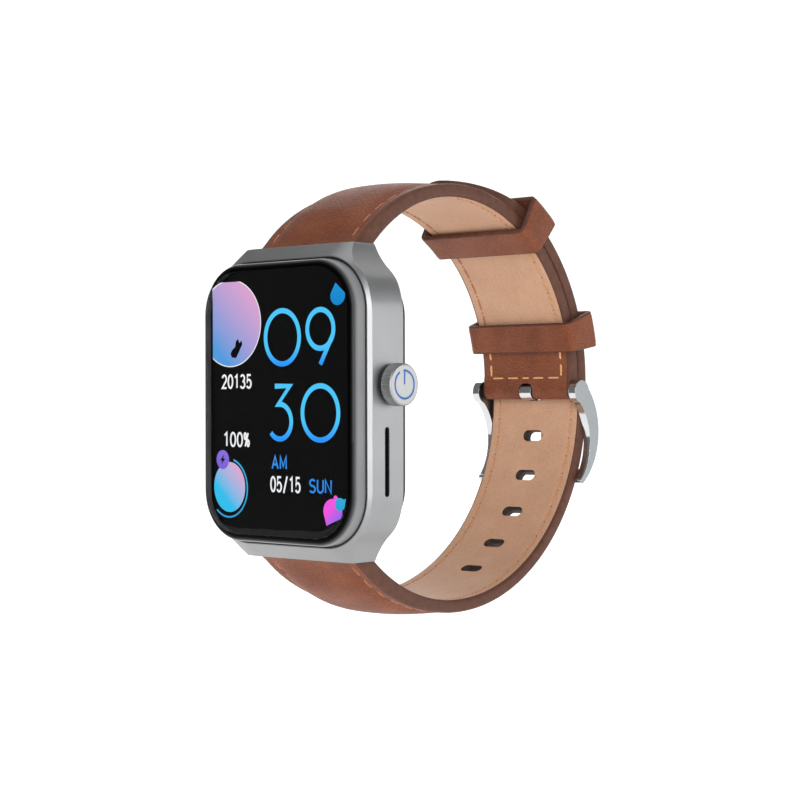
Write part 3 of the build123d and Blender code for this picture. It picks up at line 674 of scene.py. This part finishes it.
def sweep_rings(name, rings, finishes_used, closed=False):
    """Skins a list of rings of (point, finish) into one mesh object."""
    size = len(rings[0])
    verts = [point for ring in rings for point, _ in ring]
    faces, finish_of = [], []
    last = len(rings) if closed else len(rings) - 1
    for row in range(last):
        after = (row + 1) % len(rings)
        for column in range(size):
            beside = (column + 1) % size
            faces.append((row * size + column, row * size + beside,
                          after * size + beside, after * size + column))
            here, there = rings[row][column][1], rings[row][beside][1]
            finish_of.append(here if here == there else EDGE)
    if not closed:
        faces.append(tuple(reversed(range(size))))
        faces.append(tuple(range((len(rings) - 1) * size, len(rings) * size)))
        finish_of += [EDGE, EDGE]
    made = new_object(name, verts, faces)
    for finish in finishes_used:
        made.data.materials.append(finish)
    made.data.polygons.foreach_set("material_index", finish_of)
    face_outward(made)
    return made


strap_finishes = [brown_leather, edge_leather, tan_leather]
print("section ring points", len(section(lug_half, 0.0, 3.0, 1.75)))

# %% [markdown]
# ## The two strap halves
# Each half starts at the spring bar, where the leather wraps round the bar in a roll 3.4 mm
# thick. From there the edge thins from 3 mm to 2.2 mm. The foam core swells soon after the lug
# and is gone by the top of the loop. The lower half carries on past the buckle as the tail,
# which ends in a long rounded tip. Each half is one closed skin, so that it exports as a solid.

# %% Build the strap halves
roll_radius, roll_sink, roll_end = 1.7, 0.15, 5.0
tip_length, least_half = 17.5, 3.0


def core_swell(run):
    """How far the foam core lifts the outer leather."""
    return 1.75 * ease(run, 3.0, 10.0) * (1 - ease(run, 14.0, 33.0))


def upper_edge(run):
    """Thickness of the upper half's edge."""
    return 3.0 - 0.8 * ease(run, 5.0, 26.0)


def lower_edge(run):
    """Thickness of the lower half's edge, a little thinner, as it passes under the buckle."""
    return 2.85 - 0.7 * ease(run, 5.0, 26.0)


def strap_ring(station, route_end, edge_thick, tip):
    """The section at one station, placed in space."""
    place, out, run = station
    if run < roll_radius:
        reach = math.sqrt(max(0.02, roll_radius ** 2 - (roll_radius - run) ** 2))
        bottom, top = roll_radius - roll_sink - reach, roll_radius - roll_sink + reach
    else:
        flat = ease(run, roll_radius, roll_end)
        bottom = -roll_sink * (1 - flat)
        top = (2 * roll_radius - roll_sink) * (1 - flat) + edge_thick(run) * flat
    half, left = half_width(place), route_end - run
    if tip and left < tip:
        half *= math.sqrt(max(0.0012, 1 - (1 - left / tip) ** 2))
    grooved = ease(run, 4.0, 6.0) * ease(half, 4.0, 8.0)
    narrowing = min(1.0, half / least_half)
    ring = []
    for x, height, finish in section(max(half, least_half), bottom, top, core_swell(run),
                                     grooved):
        spot = place + out * height
        ring.append(((x * narrowing, spot.x, spot.y), finish))
    return ring


for name, route, edge_thick, tip in (("upper", upper_route, upper_edge, 0.0),
                                     ("lower", lower_route, lower_edge, tip_length)):
    rings = [strap_ring(station, route[-1][2], edge_thick, tip) for station in route]
    half_piece = sweep_rings(name + "_strap", rings, strap_finishes)
    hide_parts(name + "_strap_cover", name + "_strap_padding",
                name + "_strap_lining")
    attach(half_piece, "watch")
    print(half_piece.name, "faces", len(half_piece.data.polygons))
lower_half = half_piece

# %% [markdown]
# ## Adjustment holes
# The holes are obrounds, 4.4 mm across and 2 mm along the strap, a pitch apart. They could be
# left out of the mesh as it is made, but a real punch cuts them after sewing, and a boolean by a
# solid punch of that shape does the same. The walls it leaves are given a very dark brown, darker
# than the painted edges. The hole that the tongue is in has stretched with use.

# %% Punch the holes
def punch(place, out, across, along, reach):
    """Corner points of an obround prism through the strap."""
    lengthwise = Vector((-out.y, out.x))
    points = []
    for side in (1, -1):
        for step in range(9):
            turn = math.radians(-90 + 180 * step / 8)
            x = side * ((across - along) / 2 + along / 2 * math.cos(turn))
            offset = side * along / 2 * math.sin(turn)
            points.append((x, lengthwise * offset))
    return [[((x, *(place + out * height + shift)), EDGE) for x, shift in points]
            for height in (-reach, reach)]


def cut_with(piece, cutter):
    """Cuts one mesh out of another for good."""
    modifier = piece.modifiers.new("cut", "BOOLEAN")
    modifier.operation, modifier.object, modifier.solver = "DIFFERENCE", cutter, "EXACT"
    bpy.context.view_layer.update()
    graph = bpy.context.evaluated_depsgraph_get()
    cut_mesh = bpy.data.meshes.new_from_object(piece.evaluated_get(graph))
    piece.modifiers.clear()
    piece.data = cut_mesh
    bpy.data.objects.remove(cutter)


hole_wall = moulded("dark_brown_hole_wall", "#33221b", 0.7, 0.3, 0.03)
hole_finish = len(lower_half.data.materials)
lower_half.data.materials.append(hole_wall)
holes, hole_in_use, first_hole_angle, hole_pitch_angle = 7, 1, 15.0, 13.0
hole_across, hole_along, stretched_along, stretch_shift, punch_reach = 4.4, 2.0, 3.0, 0.45, 3.6
for index in range(holes):
    in_use = index == hole_in_use
    out = toward(first_hole_angle - index * hole_pitch_angle)
    centre = (Vector(lower_centre) + lower_radius * out
              + Vector((0, stretch_shift if in_use else 0)))
    tool = sweep_rings("punch", punch(centre, out, hole_across,
                                      stretched_along if in_use else hole_along, punch_reach),
                       [*lower_half.data.materials])
    tool.data.polygons.foreach_set("material_index", [hole_finish] * len(tool.data.polygons))
    cut_with(lower_half, tool)
print("holes", holes, "faces now", len(lower_half.data.polygons))

# %% [markdown]
# ## Stitching
# A saddle stitch shows as a row of short, plump threads, each sunk at its ends where it goes
# through the leather. Each stitch is its own small tube, since a texture of dashes has no relief
# at its ends. Ten stitches take 33 mm.

# %% Stitch builder
stitch_pitch, stitch_length, thread_radius, thread_lift = 3.3, 2.7, 0.2, 0.05


def stitch_row(name, path, material, radius=thread_radius, length=stitch_length):
    """A row of stitches. path gives (centre, along, up, across) at each stitch's middle."""
    sides, stations = 8, 7
    verts, faces = [], []
    for centre, along, lift, across in path:
        first = len(verts)
        for station in range(stations):
            t = -1 + 2 * station / (stations - 1)
            swell = math.sqrt(max(0.06, 1 - abs(t) ** 7))
            sink = -radius * 0.7 * abs(t) ** 10
            for side in range(sides):
                turn = math.tau * side / sides
                verts.append(centre + along * (t * length / 2) + lift * sink
                             + (across * math.cos(turn) * 1.1
                                + lift * math.sin(turn) * 0.8) * radius * swell)
        for station in range(stations - 1):
            for side in range(sides):
                beside = (side + 1) % sides
                row = first + station * sides
                faces.append((row + side, row + beside, row + sides + beside, row + sides + side))
        faces.append(tuple(first + side for side in reversed(range(sides))))
        faces.append(tuple(first + (stations - 1) * sides + side for side in range(sides)))
    made = new_object(name, verts, faces)
    made.data.materials.append(material)
    return made


def at_run(route, run):
    """The station at a distance along a route."""
    for before, after in zip(route, route[1:]):
        if after[2] >= run:
            t = (run - before[2]) / max(1e-9, after[2] - before[2])
            place = before[0].lerp(after[0], t)
            out = before[1].lerp(after[1], t).normalized()
            return place, out, (after[0] - before[0]).normalized()
    return route[-1][0], route[-1][1], (route[-1][0] - route[-2][0]).normalized()


print("stitch pitch mm", stitch_pitch)

# %% [markdown]
# Both faces of the strap show the seams: rust-brown thread outside, and an orange-tan close to
# the lining's own colour inside. Between one stitch and the next a tiny mark of painted shadow
# stands for the needle hole.
# A thread is placed by its distance along the route, so the rows follow every bend, and they
# close in along the tip as its edge does.

# %% Sew the strap
def strap_stitches(route, start, end, edge_thick, tip, sides):
    """Stitch middles along the stitch lines, and the gaps between. No edge_thick: the lining."""
    middles, gaps = [], []
    for side in sides:
        run = start
        while run < end:
            for offset, target in ((0, middles), (stitch_pitch / 2, gaps)):
                place, out, along = at_run(route, run + offset)
                half, left = half_width(place), route[-1][2] - run - offset
                if tip and left < tip:
                    half *= math.sqrt(max(0.0, 1 - (1 - left / tip) ** 2))
                line = half - margin
                if line < 1.0:
                    continue
                height = groove_depth * lining_groove - thread_lift
                if edge_thick:
                    height = edge_thick(run + offset) - groove_depth + thread_lift
                lift = out if edge_thick else -out
                target.append((Vector((side * line, *(place + out * height))),
                               Vector((0, *along)), Vector((0, *lift)), Vector((1, 0, 0))))
            run += stitch_pitch
    return middles, gaps


# Painted shadow: the small marks between stitches stand in for the shade inside each needle hole.
needle_hole = moulded("needle_hole_shadow", "#9a6645", 0.8)
fold_angle = 17
upper_end, lower_end = upper_route[-1][2], lower_route[-1][2]
fold_start_run = upper_end - math.radians(fold_angle) * upper_radius
for name, route, start, end, edge_thick, material, tip, sides in (
        ("upper_outer", upper_route, 5.5, upper_end - 4, upper_edge, rust_thread, 0, (1, -1)),
        ("upper_lining_near", upper_route, 7.0, fold_start_run - 1.5, None, orange_thread, 0,
         (1,)),
        ("upper_lining_far", upper_route, 7.0, fold_start_run - 1.5, None, rusty_thread, 0,
         (-1,)),
        ("lower_outer", lower_route, 5.5, lower_end - 7.0, lower_edge, rust_thread, tip_length,
         (1, -1)),
        ("lower_lining", lower_route, 7.0, lower_end - 7.0, None, orange_thread, tip_length,
         (1, -1))):
    middles, gaps = strap_stitches(route, start, end, edge_thick, tip, sides)
    sewn = stitch_row(name + "_stitches", middles, material)
    pierced = stitch_row(name + "_needle_holes", gaps, needle_hole, radius=0.13, length=0.3)
    for piece in (sewn, pierced):
        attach(piece, "watch")
    print(name, len(middles), "stitches")

# %% [markdown]
# ## The fold round the buckle bar
# At the buckle the leather is skived thin, wrapped round the bar and sewn back on the wrist
# side. Its line is taken round the bar as a set of points and then relaxed, because leather
# under tension takes the smoothest path.

# %% Line of the fold
def smooth_line(points, rounds):
    """Relaxes the inner points of a polyline."""
    for _ in range(rounds):
        points = [points[0]] + [
            points[i] * 0.5 + (points[i - 1] + points[i + 1]) * 0.25
            for i in range(1, len(points) - 1)] + [points[-1]]
    return points


pin = Vector((pin_y, pin_z))
wrap_radius, sewn_radius, fold_step = 1.45, upper_radius - 0.12, 0.3
tucked_end = Vector((53.3, 3.4))
fold_path = [Vector(upper_centre) + sewn_radius * toward(a) for a in range(fold_angle, 2, -2)]
fold_path += [pin + wrap_radius * toward(a) for a in range(160, 395, 12)]
fold_path.append(tucked_end)
fold_line = []
for before, after in zip(fold_path, fold_path[1:]):
    count = max(1, round((after - before).length / fold_step))
    fold_line += [before.lerp(after, step / count) for step in range(count)]
fold_line = smooth_line(fold_line + [tucked_end], 6)
print("fold line points", len(fold_line))

# %% [markdown]
# The fold is skinned along that line like the strap, thinner where it goes round the bar and
# feathered to nothing at its sewn end. Its good side faces the wrist, so the two leathers of
# the section change places. A notch with rounded corners lets the tongue turn.

# %% Build the fold
fold_half, wrap_thick, sewn_thick = 10.0, 0.58, 1.14
flipped = {OUTER: LINING, LINING: OUTER, EDGE: EDGE}
fold_rings = []
for index, place in enumerate(fold_line):
    ahead = fold_line[min(index + 1, len(fold_line) - 1)] - fold_line[max(index - 1, 0)]
    inward = Vector((-ahead.y, ahead.x)).normalized()
    thick = wrap_thick + (sewn_thick - wrap_thick) * ease((place - pin).length, 1.5, 5.0)
    skive = ease(index, -6, 5)
    fold_rings.append([((x, *(place + inward * height)), flipped[finish])
                       for x, height, finish in section(fold_half, 0.0, thick * skive, 0.0, 0.0)])
fold = sweep_rings("buckle_fold_leather", fold_rings, strap_finishes)
notch_half, notch_low, notch_high, notch_corner = 1.55, -0.6, 3.35, 1.0
notch_near, notch_far = 49.0, 55.0
notch_corners = ((1, notch_high - notch_corner, 0), (-1, notch_high - notch_corner, 90),
                 (-1, notch_low + notch_corner, 180), (1, notch_low + notch_corner, 270))
notch_line = [Vector((side * (notch_half - notch_corner), level)) + notch_corner * toward(turn)
              for side, level, first in notch_corners for turn in range(first, first + 91, 15)]
notch_rings = [[((x, y, z), EDGE) for x, z in notch_line] for y in (notch_near, notch_far)]
cut_with(fold, sweep_rings("notch", notch_rings, [brown_leather, edge_leather]))
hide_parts("buckle_fold")
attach(fold, "watch")
print("fold faces", len(fold.data.polygons))

# %% [markdown]
# The fold is held by a three-sided seam in a lighter thread: two stitches up each side, and a
# row along the bottom with a short one in the middle.

# %% Sew the fold
seam_x, seam_z, seam_radius, side_length = 8.1, 4.3, upper_radius - 0.14, 2.6
side_middles = []
for side in (1, -1):
    for angle in (3.3, 9.2):
        out = Vector((0, *toward(angle)))
        centre = Vector((side * seam_x, *upper_centre))
        side_middles.append((centre + out * seam_radius, Vector((0, -out.z, out.y)), -out,
                             Vector((1, 0, 0))))
fold_rows = [stitch_row("fold_side_stitches", side_middles, peach_thread, length=side_length)]
bottom_stitches = ((-6.4, 3.3), (-2.95, 3.3), (0, 2.1), (2.95, 3.3), (6.4, 3.3))
for number, (x, length) in enumerate(bottom_stitches, 1):
    middle = (Vector((x, upper_centre[0] + seam_radius, seam_z)), Vector((1, 0, 0)),
              Vector((0, -1, 0)), Vector((0, 0, 1)))
    fold_rows.append(stitch_row(f"fold_bottom_stitch_{number}", [middle], peach_thread,
                                length=length))
for row in fold_rows:
    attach(row, "watch")
print("fold stitches", len(side_middles) + len(bottom_stitches))

# %% [markdown]
# ## Keepers
# Each keeper is a strip of the same leather, creased into a flat-sided loop. A real one is
# folded round a block while wet, so its corners are tight but not sharp, and its painted edges
# are rounded. The section of the strip is carried round a rounded rectangle. The loop also
# follows the strap's curve, so each point is placed by its angle about the strap's centre.

# %% Build the keepers
keeper_inner, keeper_outer, keeper_half, keeper_wall = 29.0, 36.8, 12.0, 1.07
keeper_radius, keeper_corner = (keeper_inner + keeper_outer) / 2, 1.25
strip_bevel, strip_dip = 0.34, 0.05


def strip_section(half, thick):
    """Ring of (offset, depth, finish) round a strip with softly rounded, painted edges."""
    flat, centre = half - strip_bevel, thick / 2
    ring = [(x * flat, strip_dip * (abs(x) > 0.9), OUTER)
            for x in (-1, -0.92, -0.84, -0.4, 0, 0.4, 0.84, 0.92, 1)]
    edge = []
    for step in (1, 2, 3, 4, 5):
        turn = math.radians(180 * step / 6)
        edge.append((flat + strip_bevel * math.sin(turn), centre - centre * math.cos(turn)))
    ring += [(offset, depth, EDGE) for offset, depth in edge]
    ring += [(x * flat, thick, OUTER) for x in (1, 0.4, -0.4, -1)]
    return ring + [(-offset, depth, EDGE) for offset, depth in reversed(edge)]


def loop_path():
    """(place, normal) round the loop's rounded rectangle, with points along its straights."""
    x_flat = keeper_half - keeper_corner
    r_flat = (keeper_outer - keeper_inner) / 2 - keeper_corner
    corners = ((1, 1, 0), (-1, 1, 90), (-1, -1, 180), (1, -1, 270))
    path = []
    for (sx, sr, first), (next_x, next_r, _) in zip(corners, corners[1:] + corners[:1]):
        for step in range(7):
            normal = toward(first + 90 * step / 6)
            path.append((Vector((sx * x_flat, sr * r_flat)) + keeper_corner * normal, normal))
        here, normal = path[-1]
        far = Vector((next_x * x_flat, next_r * r_flat)) + keeper_corner * normal
        pieces = 10 if abs(normal.y) > 0.5 else 4
        path += [(here.lerp(far, step / pieces), normal) for step in range(1, pieces)]
    return path


def keeper_loop(name, start, end, body):
    """A leather loop between two angles about the upper centre."""
    middle = math.radians((start + end) / 2)
    centre = Vector((0, *upper_centre))
    strip_half = math.radians(end - start) * keeper_radius / 2
    rings = []
    for place, normal in loop_path():
        ring = []
        for offset, depth, finish in strip_section(strip_half, keeper_wall):
            spot = place - normal * depth
            turn = middle + offset / keeper_radius
            out = Vector((0, math.cos(turn), math.sin(turn)))
            ring.append((centre + Vector((spot.x, 0, 0)) + out * (keeper_radius + spot.y),
                         finish))
        rings.append(ring)
    loop = sweep_rings(name + "_leather", rings, [brown_leather, edge_leather], closed=True)
    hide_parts(name)
    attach(loop, body)
    print(loop.name, "faces", len(loop.data.polygons))


keeper_loop("fixed_keeper", 9.6, 20.0, "watch")
keeper_loop("free_keeper", 48.7, 60.3, "free_keeper")

# %% [markdown]
# ## Cover glass
# The glass is a flat plate whose edge is ground and polished into a wide curve, so it meets the
# case almost upright and runs flat into the screen over some 4 mm. A superellipse gives that
# profile: steep at first and then very slow. The outline is offset inwards ring by ring, with
# its corner radius shrinking by the same amount, as a grinding wheel leaves it.

# %% Outline and profile of the glass
def rounded_outline(half_x, half_z, corner, steps=14):
    """Points round a rounded rectangle (x, z)."""
    points = []
    for sx, sz, first in ((1, 1, 0), (-1, 1, 90), (-1, -1, 180), (1, -1, 270)):
        for step in range(steps + 1):
            turn = math.radians(first + 90 * step / steps)
            points.append((sx * (half_x - corner) + corner * math.cos(turn),
                           sz * (half_z - corner) + corner * math.sin(turn)))
    return points


glass_low, glass_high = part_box("cover_glass")
glass_half_x, glass_half_z = glass_high.x / MM, glass_high.z / MM
glass_top, glass_bottom, glass_corner = -glass_low.y / MM, -glass_high.y / MM, 8.2
hollow_height, hollow_inset = 11.1, 1.25
curve_width, curve_start, squareness, curve_steps = 4.6, 9.9, 4.5, 24
profile = [(0.0, glass_bottom), (0.0, curve_start)]
for step in range(1, curve_steps + 1):
    turn = math.pi / 2 * step / curve_steps
    inset = curve_width * (1 - max(0.0, math.cos(turn)) ** (2 / squareness))
    rise = (glass_top - curve_start) * math.sin(turn) ** (2 / squareness)
    profile.append((inset, curve_start + rise))
profile.append((curve_width + 2.0, glass_top))
hollow = [(hollow_inset, glass_bottom), (hollow_inset, hollow_height),
          (hollow_inset + 4, hollow_height)]


def loft_outline(steps):
    """Rings of the glass outline at each (inset, height)."""
    return [[(x, -height, z) for x, z in rounded_outline(
        glass_half_x - inset, glass_half_z - inset, max(0.5, glass_corner - inset))]
        for inset, height in steps]


print("glass profile points", len(profile), "mm high", round(glass_top - glass_bottom, 2))

# %% [markdown]
# The plate is one closed skin: down the wall of the hollow that the display sits in, across the
# rim at the bottom, and up and over the polished outside. Edges sharper than 40 degrees stay
# sharp, so the rim doesn't smear the highlight on the curve above it.

# %% Build the glass
glass_rings = list(reversed(loft_outline(hollow))) + loft_outline(profile)
size = len(glass_rings[0])
glass_verts = [point for ring in glass_rings for point in ring]
glass_faces = [(row * size + i, row * size + (i + 1) % size, (row + 1) * size + (i + 1) % size,
                (row + 1) * size + i) for row in range(len(glass_rings) - 1) for i in range(size)]
glass_faces.append(tuple(reversed(range(size))))
glass_faces.append(tuple(range((len(glass_rings) - 1) * size, len(glass_rings) * size)))
glass_piece = new_object("cover_glass_plate", glass_verts, glass_faces)
glass_piece.data.materials.append(cover_glass)
face_outward(glass_piece)
glass_piece.data.set_sharp_from_angle(angle=math.radians(40))
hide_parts("cover_glass")
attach(glass_piece, "watch")
print("glass faces", len(glass_piece.data.polygons))

# %% [markdown]
# ## The lit screen
# The screen shows a clock face of the watch's own: big thin numerals, a step count, the charge
# and the date. A display gives off light, so each shape is a thin sheet on top of the black
# panel, with a shader that emits and reflects nothing. Its colour is graded up the screen.

# %% Screen materials
def lit(name, low_colour, high_colour, low_z, high_z, tilt=0.0):
    """Light from the panel, graded from one colour to another up the screen."""
    material, tree, shader = new_material(name, Base_Color=(0, 0, 0, 1), Roughness=0.6,
                                          Specular_IOR_Level=0.0, Emission_Strength=1.0)
    place = add(tree, "ShaderNodeSeparateXYZ", {"Vector": object_space(tree)})
    lean = add(tree, "ShaderNodeMath", {0: place.outputs["X"], 2: place.outputs["Z"]},
               operation="MULTIPLY_ADD")
    lean.inputs[1].default_value = tilt
    span = add(tree, "ShaderNodeMapRange", {"Value": lean.outputs[0]})
    span.inputs["From Min"].default_value = low_z * MM
    span.inputs["From Max"].default_value = high_z * MM
    tree.links.new(ramp(tree, span.outputs["Result"],
                        [(0.0, linear(low_colour)), (1.0, linear(high_colour))]),
                   shader.inputs["Emission Color"])
    return material


hour_light = lit("hour_light", "#1c86ff", "#4ecbff", 5.2, 8.8)
minute_light = lit("minute_light", "#1c86ff", "#4ecbff", -6.6, -3.0)
white_light = lit("white_light", "#f4f6f8", "#ffffff", -20, 20)
blue_light = lit("blue_light", "#2b86e6", "#3a9bf5", -15, -8)
drop_light = lit("drop_light", "#1287cc", "#1c97dc", 15, 18.4)
steps_light = lit("steps_light", "#559fe2", "#e4a8d4", -4.5, 12.0, 0.9)
charge_light = lit("charge_light", "#36c3f2", "#ecacd3", -26.5, -18.0, 0.9)
bolt_light = lit("bolt_light", "#7d63d8", "#8d78e2", -11, -7)
petal_light = lit("petal_light", "#8a6bf0", "#f45ae6", -30.0, -26.6, -0.9)
petal_tip_light = lit("petal_tip_light", "#2fa2d6", "#35b4e0", -17, -14)
black_light = lit("black_light", "#000000", "#020202", -20, 20)

print("lights of the screen", len([made for made in bpy.data.materials
                                   if made.name.endswith("_light")]))

# %% [markdown]
# A shape could be cut from a texture, but a mesh keeps its edge crisp. Discs and signs are one
# face each. A line is a ribbon of even width, with its joints mitred. Shapes that overlap lie on
# layers 0.008 mm apart, near enough to look printed together.

# %% Screen shapes
panel_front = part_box("display_panel")[0].y / MM
lit_area_offset = 0.3              # the lit area sits this far towards the crown
first_layer, layer_step = 0.012, 0.008
screen_pieces = []


def screen_piece(name, outline_2d, material, faces=None, layer=0):
    """A thin flat shape on the panel, from (x, z) points."""
    y = panel_front - first_layer - layer_step * layer
    verts = [(x + lit_area_offset, y, z) for x, z in outline_2d]
    piece = new_object(name, verts, faces or [tuple(range(len(verts)))], smooth=False)
    piece.data.materials.append(material)
    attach(piece, "watch")
    screen_pieces.append(piece)


def ellipse(cx, cz, rx, rz, steps=72, start=0.0, end=360.0):
    """Points round an ellipse or along part of it."""
    count = steps if end - start == 360 else steps + 1
    return [(cx + rx * math.cos(math.radians(start + (end - start) * i / steps)),
             cz + rz * math.sin(math.radians(start + (end - start) * i / steps)))
            for i in range(count)]


def ribbon(line, width, closed=False):
    """Corner points and faces of a ribbon of even width along (x, z) points."""
    points = [Vector(p) for p in line]
    count = len(points)
    corners = []
    for i, point in enumerate(points):
        before = points[i - 1] if (closed or i) else points[0]
        after = points[(i + 1) % count] if (closed or i < count - 1) else points[-1]
        first = (point - before).normalized() if point != before else (after - point).normalized()
        second = (after - point).normalized() if after != point else first
        normal = Vector((-(first + second).y, (first + second).x)).normalized()
        square = Vector((-first.y, first.x))
        reach = width / 2 / max(0.5, normal.dot(square))
        corners += [tuple(point + normal * reach), tuple(point - normal * reach)]
    last = count if closed else count - 1
    return corners, [(2 * i, 2 * i + 1, 2 * ((i + 1) % count) + 1, 2 * ((i + 1) % count))
                     for i in range(last)]


def pen_stroke(name, line, width, material, closed=False):
    """One ribbon as its own screen piece."""
    corners, faces = ribbon(line, width, closed)
    screen_piece(name, corners, material, faces)


print("panel front mm", round(panel_front, 2))

# %% [markdown]
# The small figures are drawn with a pen too. Each character is one to three lines in a box one
# unit wide and one high, and a word is its characters side by side in one mesh.

# %% Small figures
closed_gap = 0.25                  # a line whose ends are nearer than this is a ring
letter_gap = 0.42                  # of a character's width
characters = {
    "0": [ellipse(0.5, 0.5, 0.5, 0.5, 32)],
    "1": [[(0.15, 0.8), (0.6, 1.0), (0.6, 0.0)]],
    "2": [ellipse(0.5, 0.7, 0.46, 0.3, 16, 165, -25) + [(0.04, 0.0), (1.0, 0.0)]],
    "3": [ellipse(0.46, 0.75, 0.42, 0.25, 14, 155, -90),
          ellipse(0.46, 0.26, 0.5, 0.26, 16, 90, -155)],
    "5": [[(0.92, 1.0), (0.18, 1.0), (0.1, 0.48)] + ellipse(0.47, 0.32, 0.5, 0.32, 16, 135, -150)],
    "/": [[(0.1, -0.1), (0.9, 1.08)]],
    "%": [ellipse(0.2, 0.76, 0.2, 0.22, 20), ellipse(0.8, 0.24, 0.2, 0.22, 20),
          [(0.2, 0.0), (0.8, 1.0)]],
    "A": [[(0.0, 0.0), (0.5, 1.0), (1.0, 0.0)], [(0.17, 0.34), (0.83, 0.34)]],
    "M": [[(0.0, 0.0), (0.0, 1.0), (0.5, 0.2), (1.0, 1.0), (1.0, 0.0)]],
    "N": [[(0.0, 0.0), (0.0, 1.0), (1.0, 0.0), (1.0, 1.0)]],
    "S": [ellipse(0.5, 0.75, 0.44, 0.25, 16, 25, 270)
          + ellipse(0.5, 0.25, 0.48, 0.25, 16, 84, -155)],
    "U": [[(0.0, 1.0)] + ellipse(0.5, 0.34, 0.5, 0.34, 16, 180, 360) + [(1.0, 1.0)]],
}


def screen_word(name, word, x_span, z_span, material, width=0.34):
    """A word drawn in a box, as one screen piece."""
    low_x, high_x = x_span[0] + width / 2, x_span[1] - width / 2
    low_z, high_z = z_span[0] + width / 2, z_span[1] - width / 2
    size = (high_x - low_x) / (len(word) + letter_gap * (len(word) - 1))
    points, faces = [], []
    for place, character in enumerate(word):
        left = low_x + place * (1 + letter_gap) * size
        for line in characters[character]:
            spots = [(left + x * size, low_z + z * (high_z - low_z)) for x, z in line]
            closed = (Vector(line[0]) - Vector(line[-1])).length < closed_gap
            corners, strips = ribbon(spots, width, closed)
            faces += [tuple(len(points) + i for i in strip) for strip in strips]
            points += corners
    screen_piece(name, points, material, faces)


print("characters", "".join(characters))

# %% [markdown]
# The time is set in two rows of large figures, drawn with one pen 0.82 mm wide. A 0 is an
# ellipse, a 9 is a bowl with a straight leg, and a 3 has a flat top and a round belly.

# %% Draw the time and the words
pen = 0.82
nine_bowl = ellipse(8.95, 11.4, 2.85, 3.0)
pen_stroke("hour_zero", ellipse(0.5, 10.3, 3.8, 4.2), pen, hour_light, True)
pen_stroke("hour_nine_bowl", nine_bowl, pen, hour_light, closed=True)
pen_stroke("hour_nine_leg", [(11.55, 10.3), (8.95, 5.9)], pen, hour_light)
three = [(-1.2, 2.6), (2.2, 2.6), (-0.5, -0.3)]
three += ellipse(-0.1, -3.0, 2.6, 2.75, 30, 88, -140)
pen_stroke("minute_three", three, pen, minute_light)
pen_stroke("minute_zero", ellipse(8.9, -1.6, 3.9, 4.2), pen, minute_light, closed=True)

for name, words, x_span, z_span, material in (
        ("step_count", "20135", (-13.7, -6.5), (2.2, 4.6), white_light),
        ("charge_level", "100%", (-13.3, -7.0), (-7.2, -4.7), white_light),
        ("half_of_day", "AM", (-2.0, 1.5), (-10.6, -8.3), blue_light),
        ("date", "05/15", (-2.3, 4.6), (-14.2, -11.6), white_light),
        ("weekday", "SUN", (6.4, 11.4), (-14.1, -11.8), blue_light)):
    screen_word(name, words, x_span, z_span, material)
print("screen pieces", len(screen_pieces))

# %% [markdown]
# Signs stand beside the numbers: a shoe on a disc for the steps, a drop, a bolt over the charge
# disc with its arc, and a flower petal. The step disc is bigger than the room for it, so it is
# cut off at the edge of the lit area.

# %% Draw the signs
screen_left, screen_top = -15.75, 19.5


def clip(points):
    """Holds points inside the lit area."""
    return [(max(screen_left, x), min(screen_top, z)) for x, z in points]


screen_piece("steps_disc_rim", clip(ellipse(-11.5, 12.8, 7.15, 7.05, 120)), white_light)
screen_piece("steps_disc", clip(ellipse(-11.5, 12.8, 7.0, 6.9, 120)), steps_light, layer=1)
shoe = [(-11.5, 7.9), (-11.2, 7.3), (-10.2, 7.2), (-9.6, 8.0), (-8.7, 9.4), (-8.9, 10.0),
        (-9.4, 9.6), (-9.7, 10.3), (-10.2, 9.9), (-10.4, 9.0), (-11.1, 8.5)]
screen_piece("shoe_sign", shoe, black_light, layer=2)
drop = [(12.2, 18.4)] + ellipse(12.65, 16.35, 1.5, 1.4, 24, 20, -200)
screen_piece("water_drop", drop, drop_light)
screen_piece("charge_disc", ellipse(-11.8, -13.65, 3.7, 4.05, 96), charge_light, layer=1)
pen_stroke("charge_arc", ellipse(-12.0, -13.8, 4.4, 4.7, 40, -130, 75), 0.3, petal_tip_light)
screen_piece("bolt_disc", ellipse(-13.4, -9.25, 1.5, 1.55, 48), bolt_light, layer=2)
bolt = [(-13.1, -8.4), (-14.0, -9.4), (-13.5, -9.4), (-13.8, -10.1), (-12.8, -9.1),
        (-13.3, -9.1)]
screen_piece("bolt_sign", bolt, black_light, layer=3)
petal = [(10.2, -19.0)] + ellipse(11.55, -16.7, 2.0, 1.9, 40, 205, -35)
screen_piece("petal", petal, petal_light)
screen_piece("petal_dot", ellipse(12.2, -14.75, 0.45, 0.5, 24), petal_light, layer=1)
tip = [(14.3, -14.7)] + ellipse(13.1, -15.6, 1.05, 1.0, 24, 50, 330)
screen_piece("petal_tip", tip, petal_tip_light, layer=2)
print("screen pieces", len(screen_pieces))
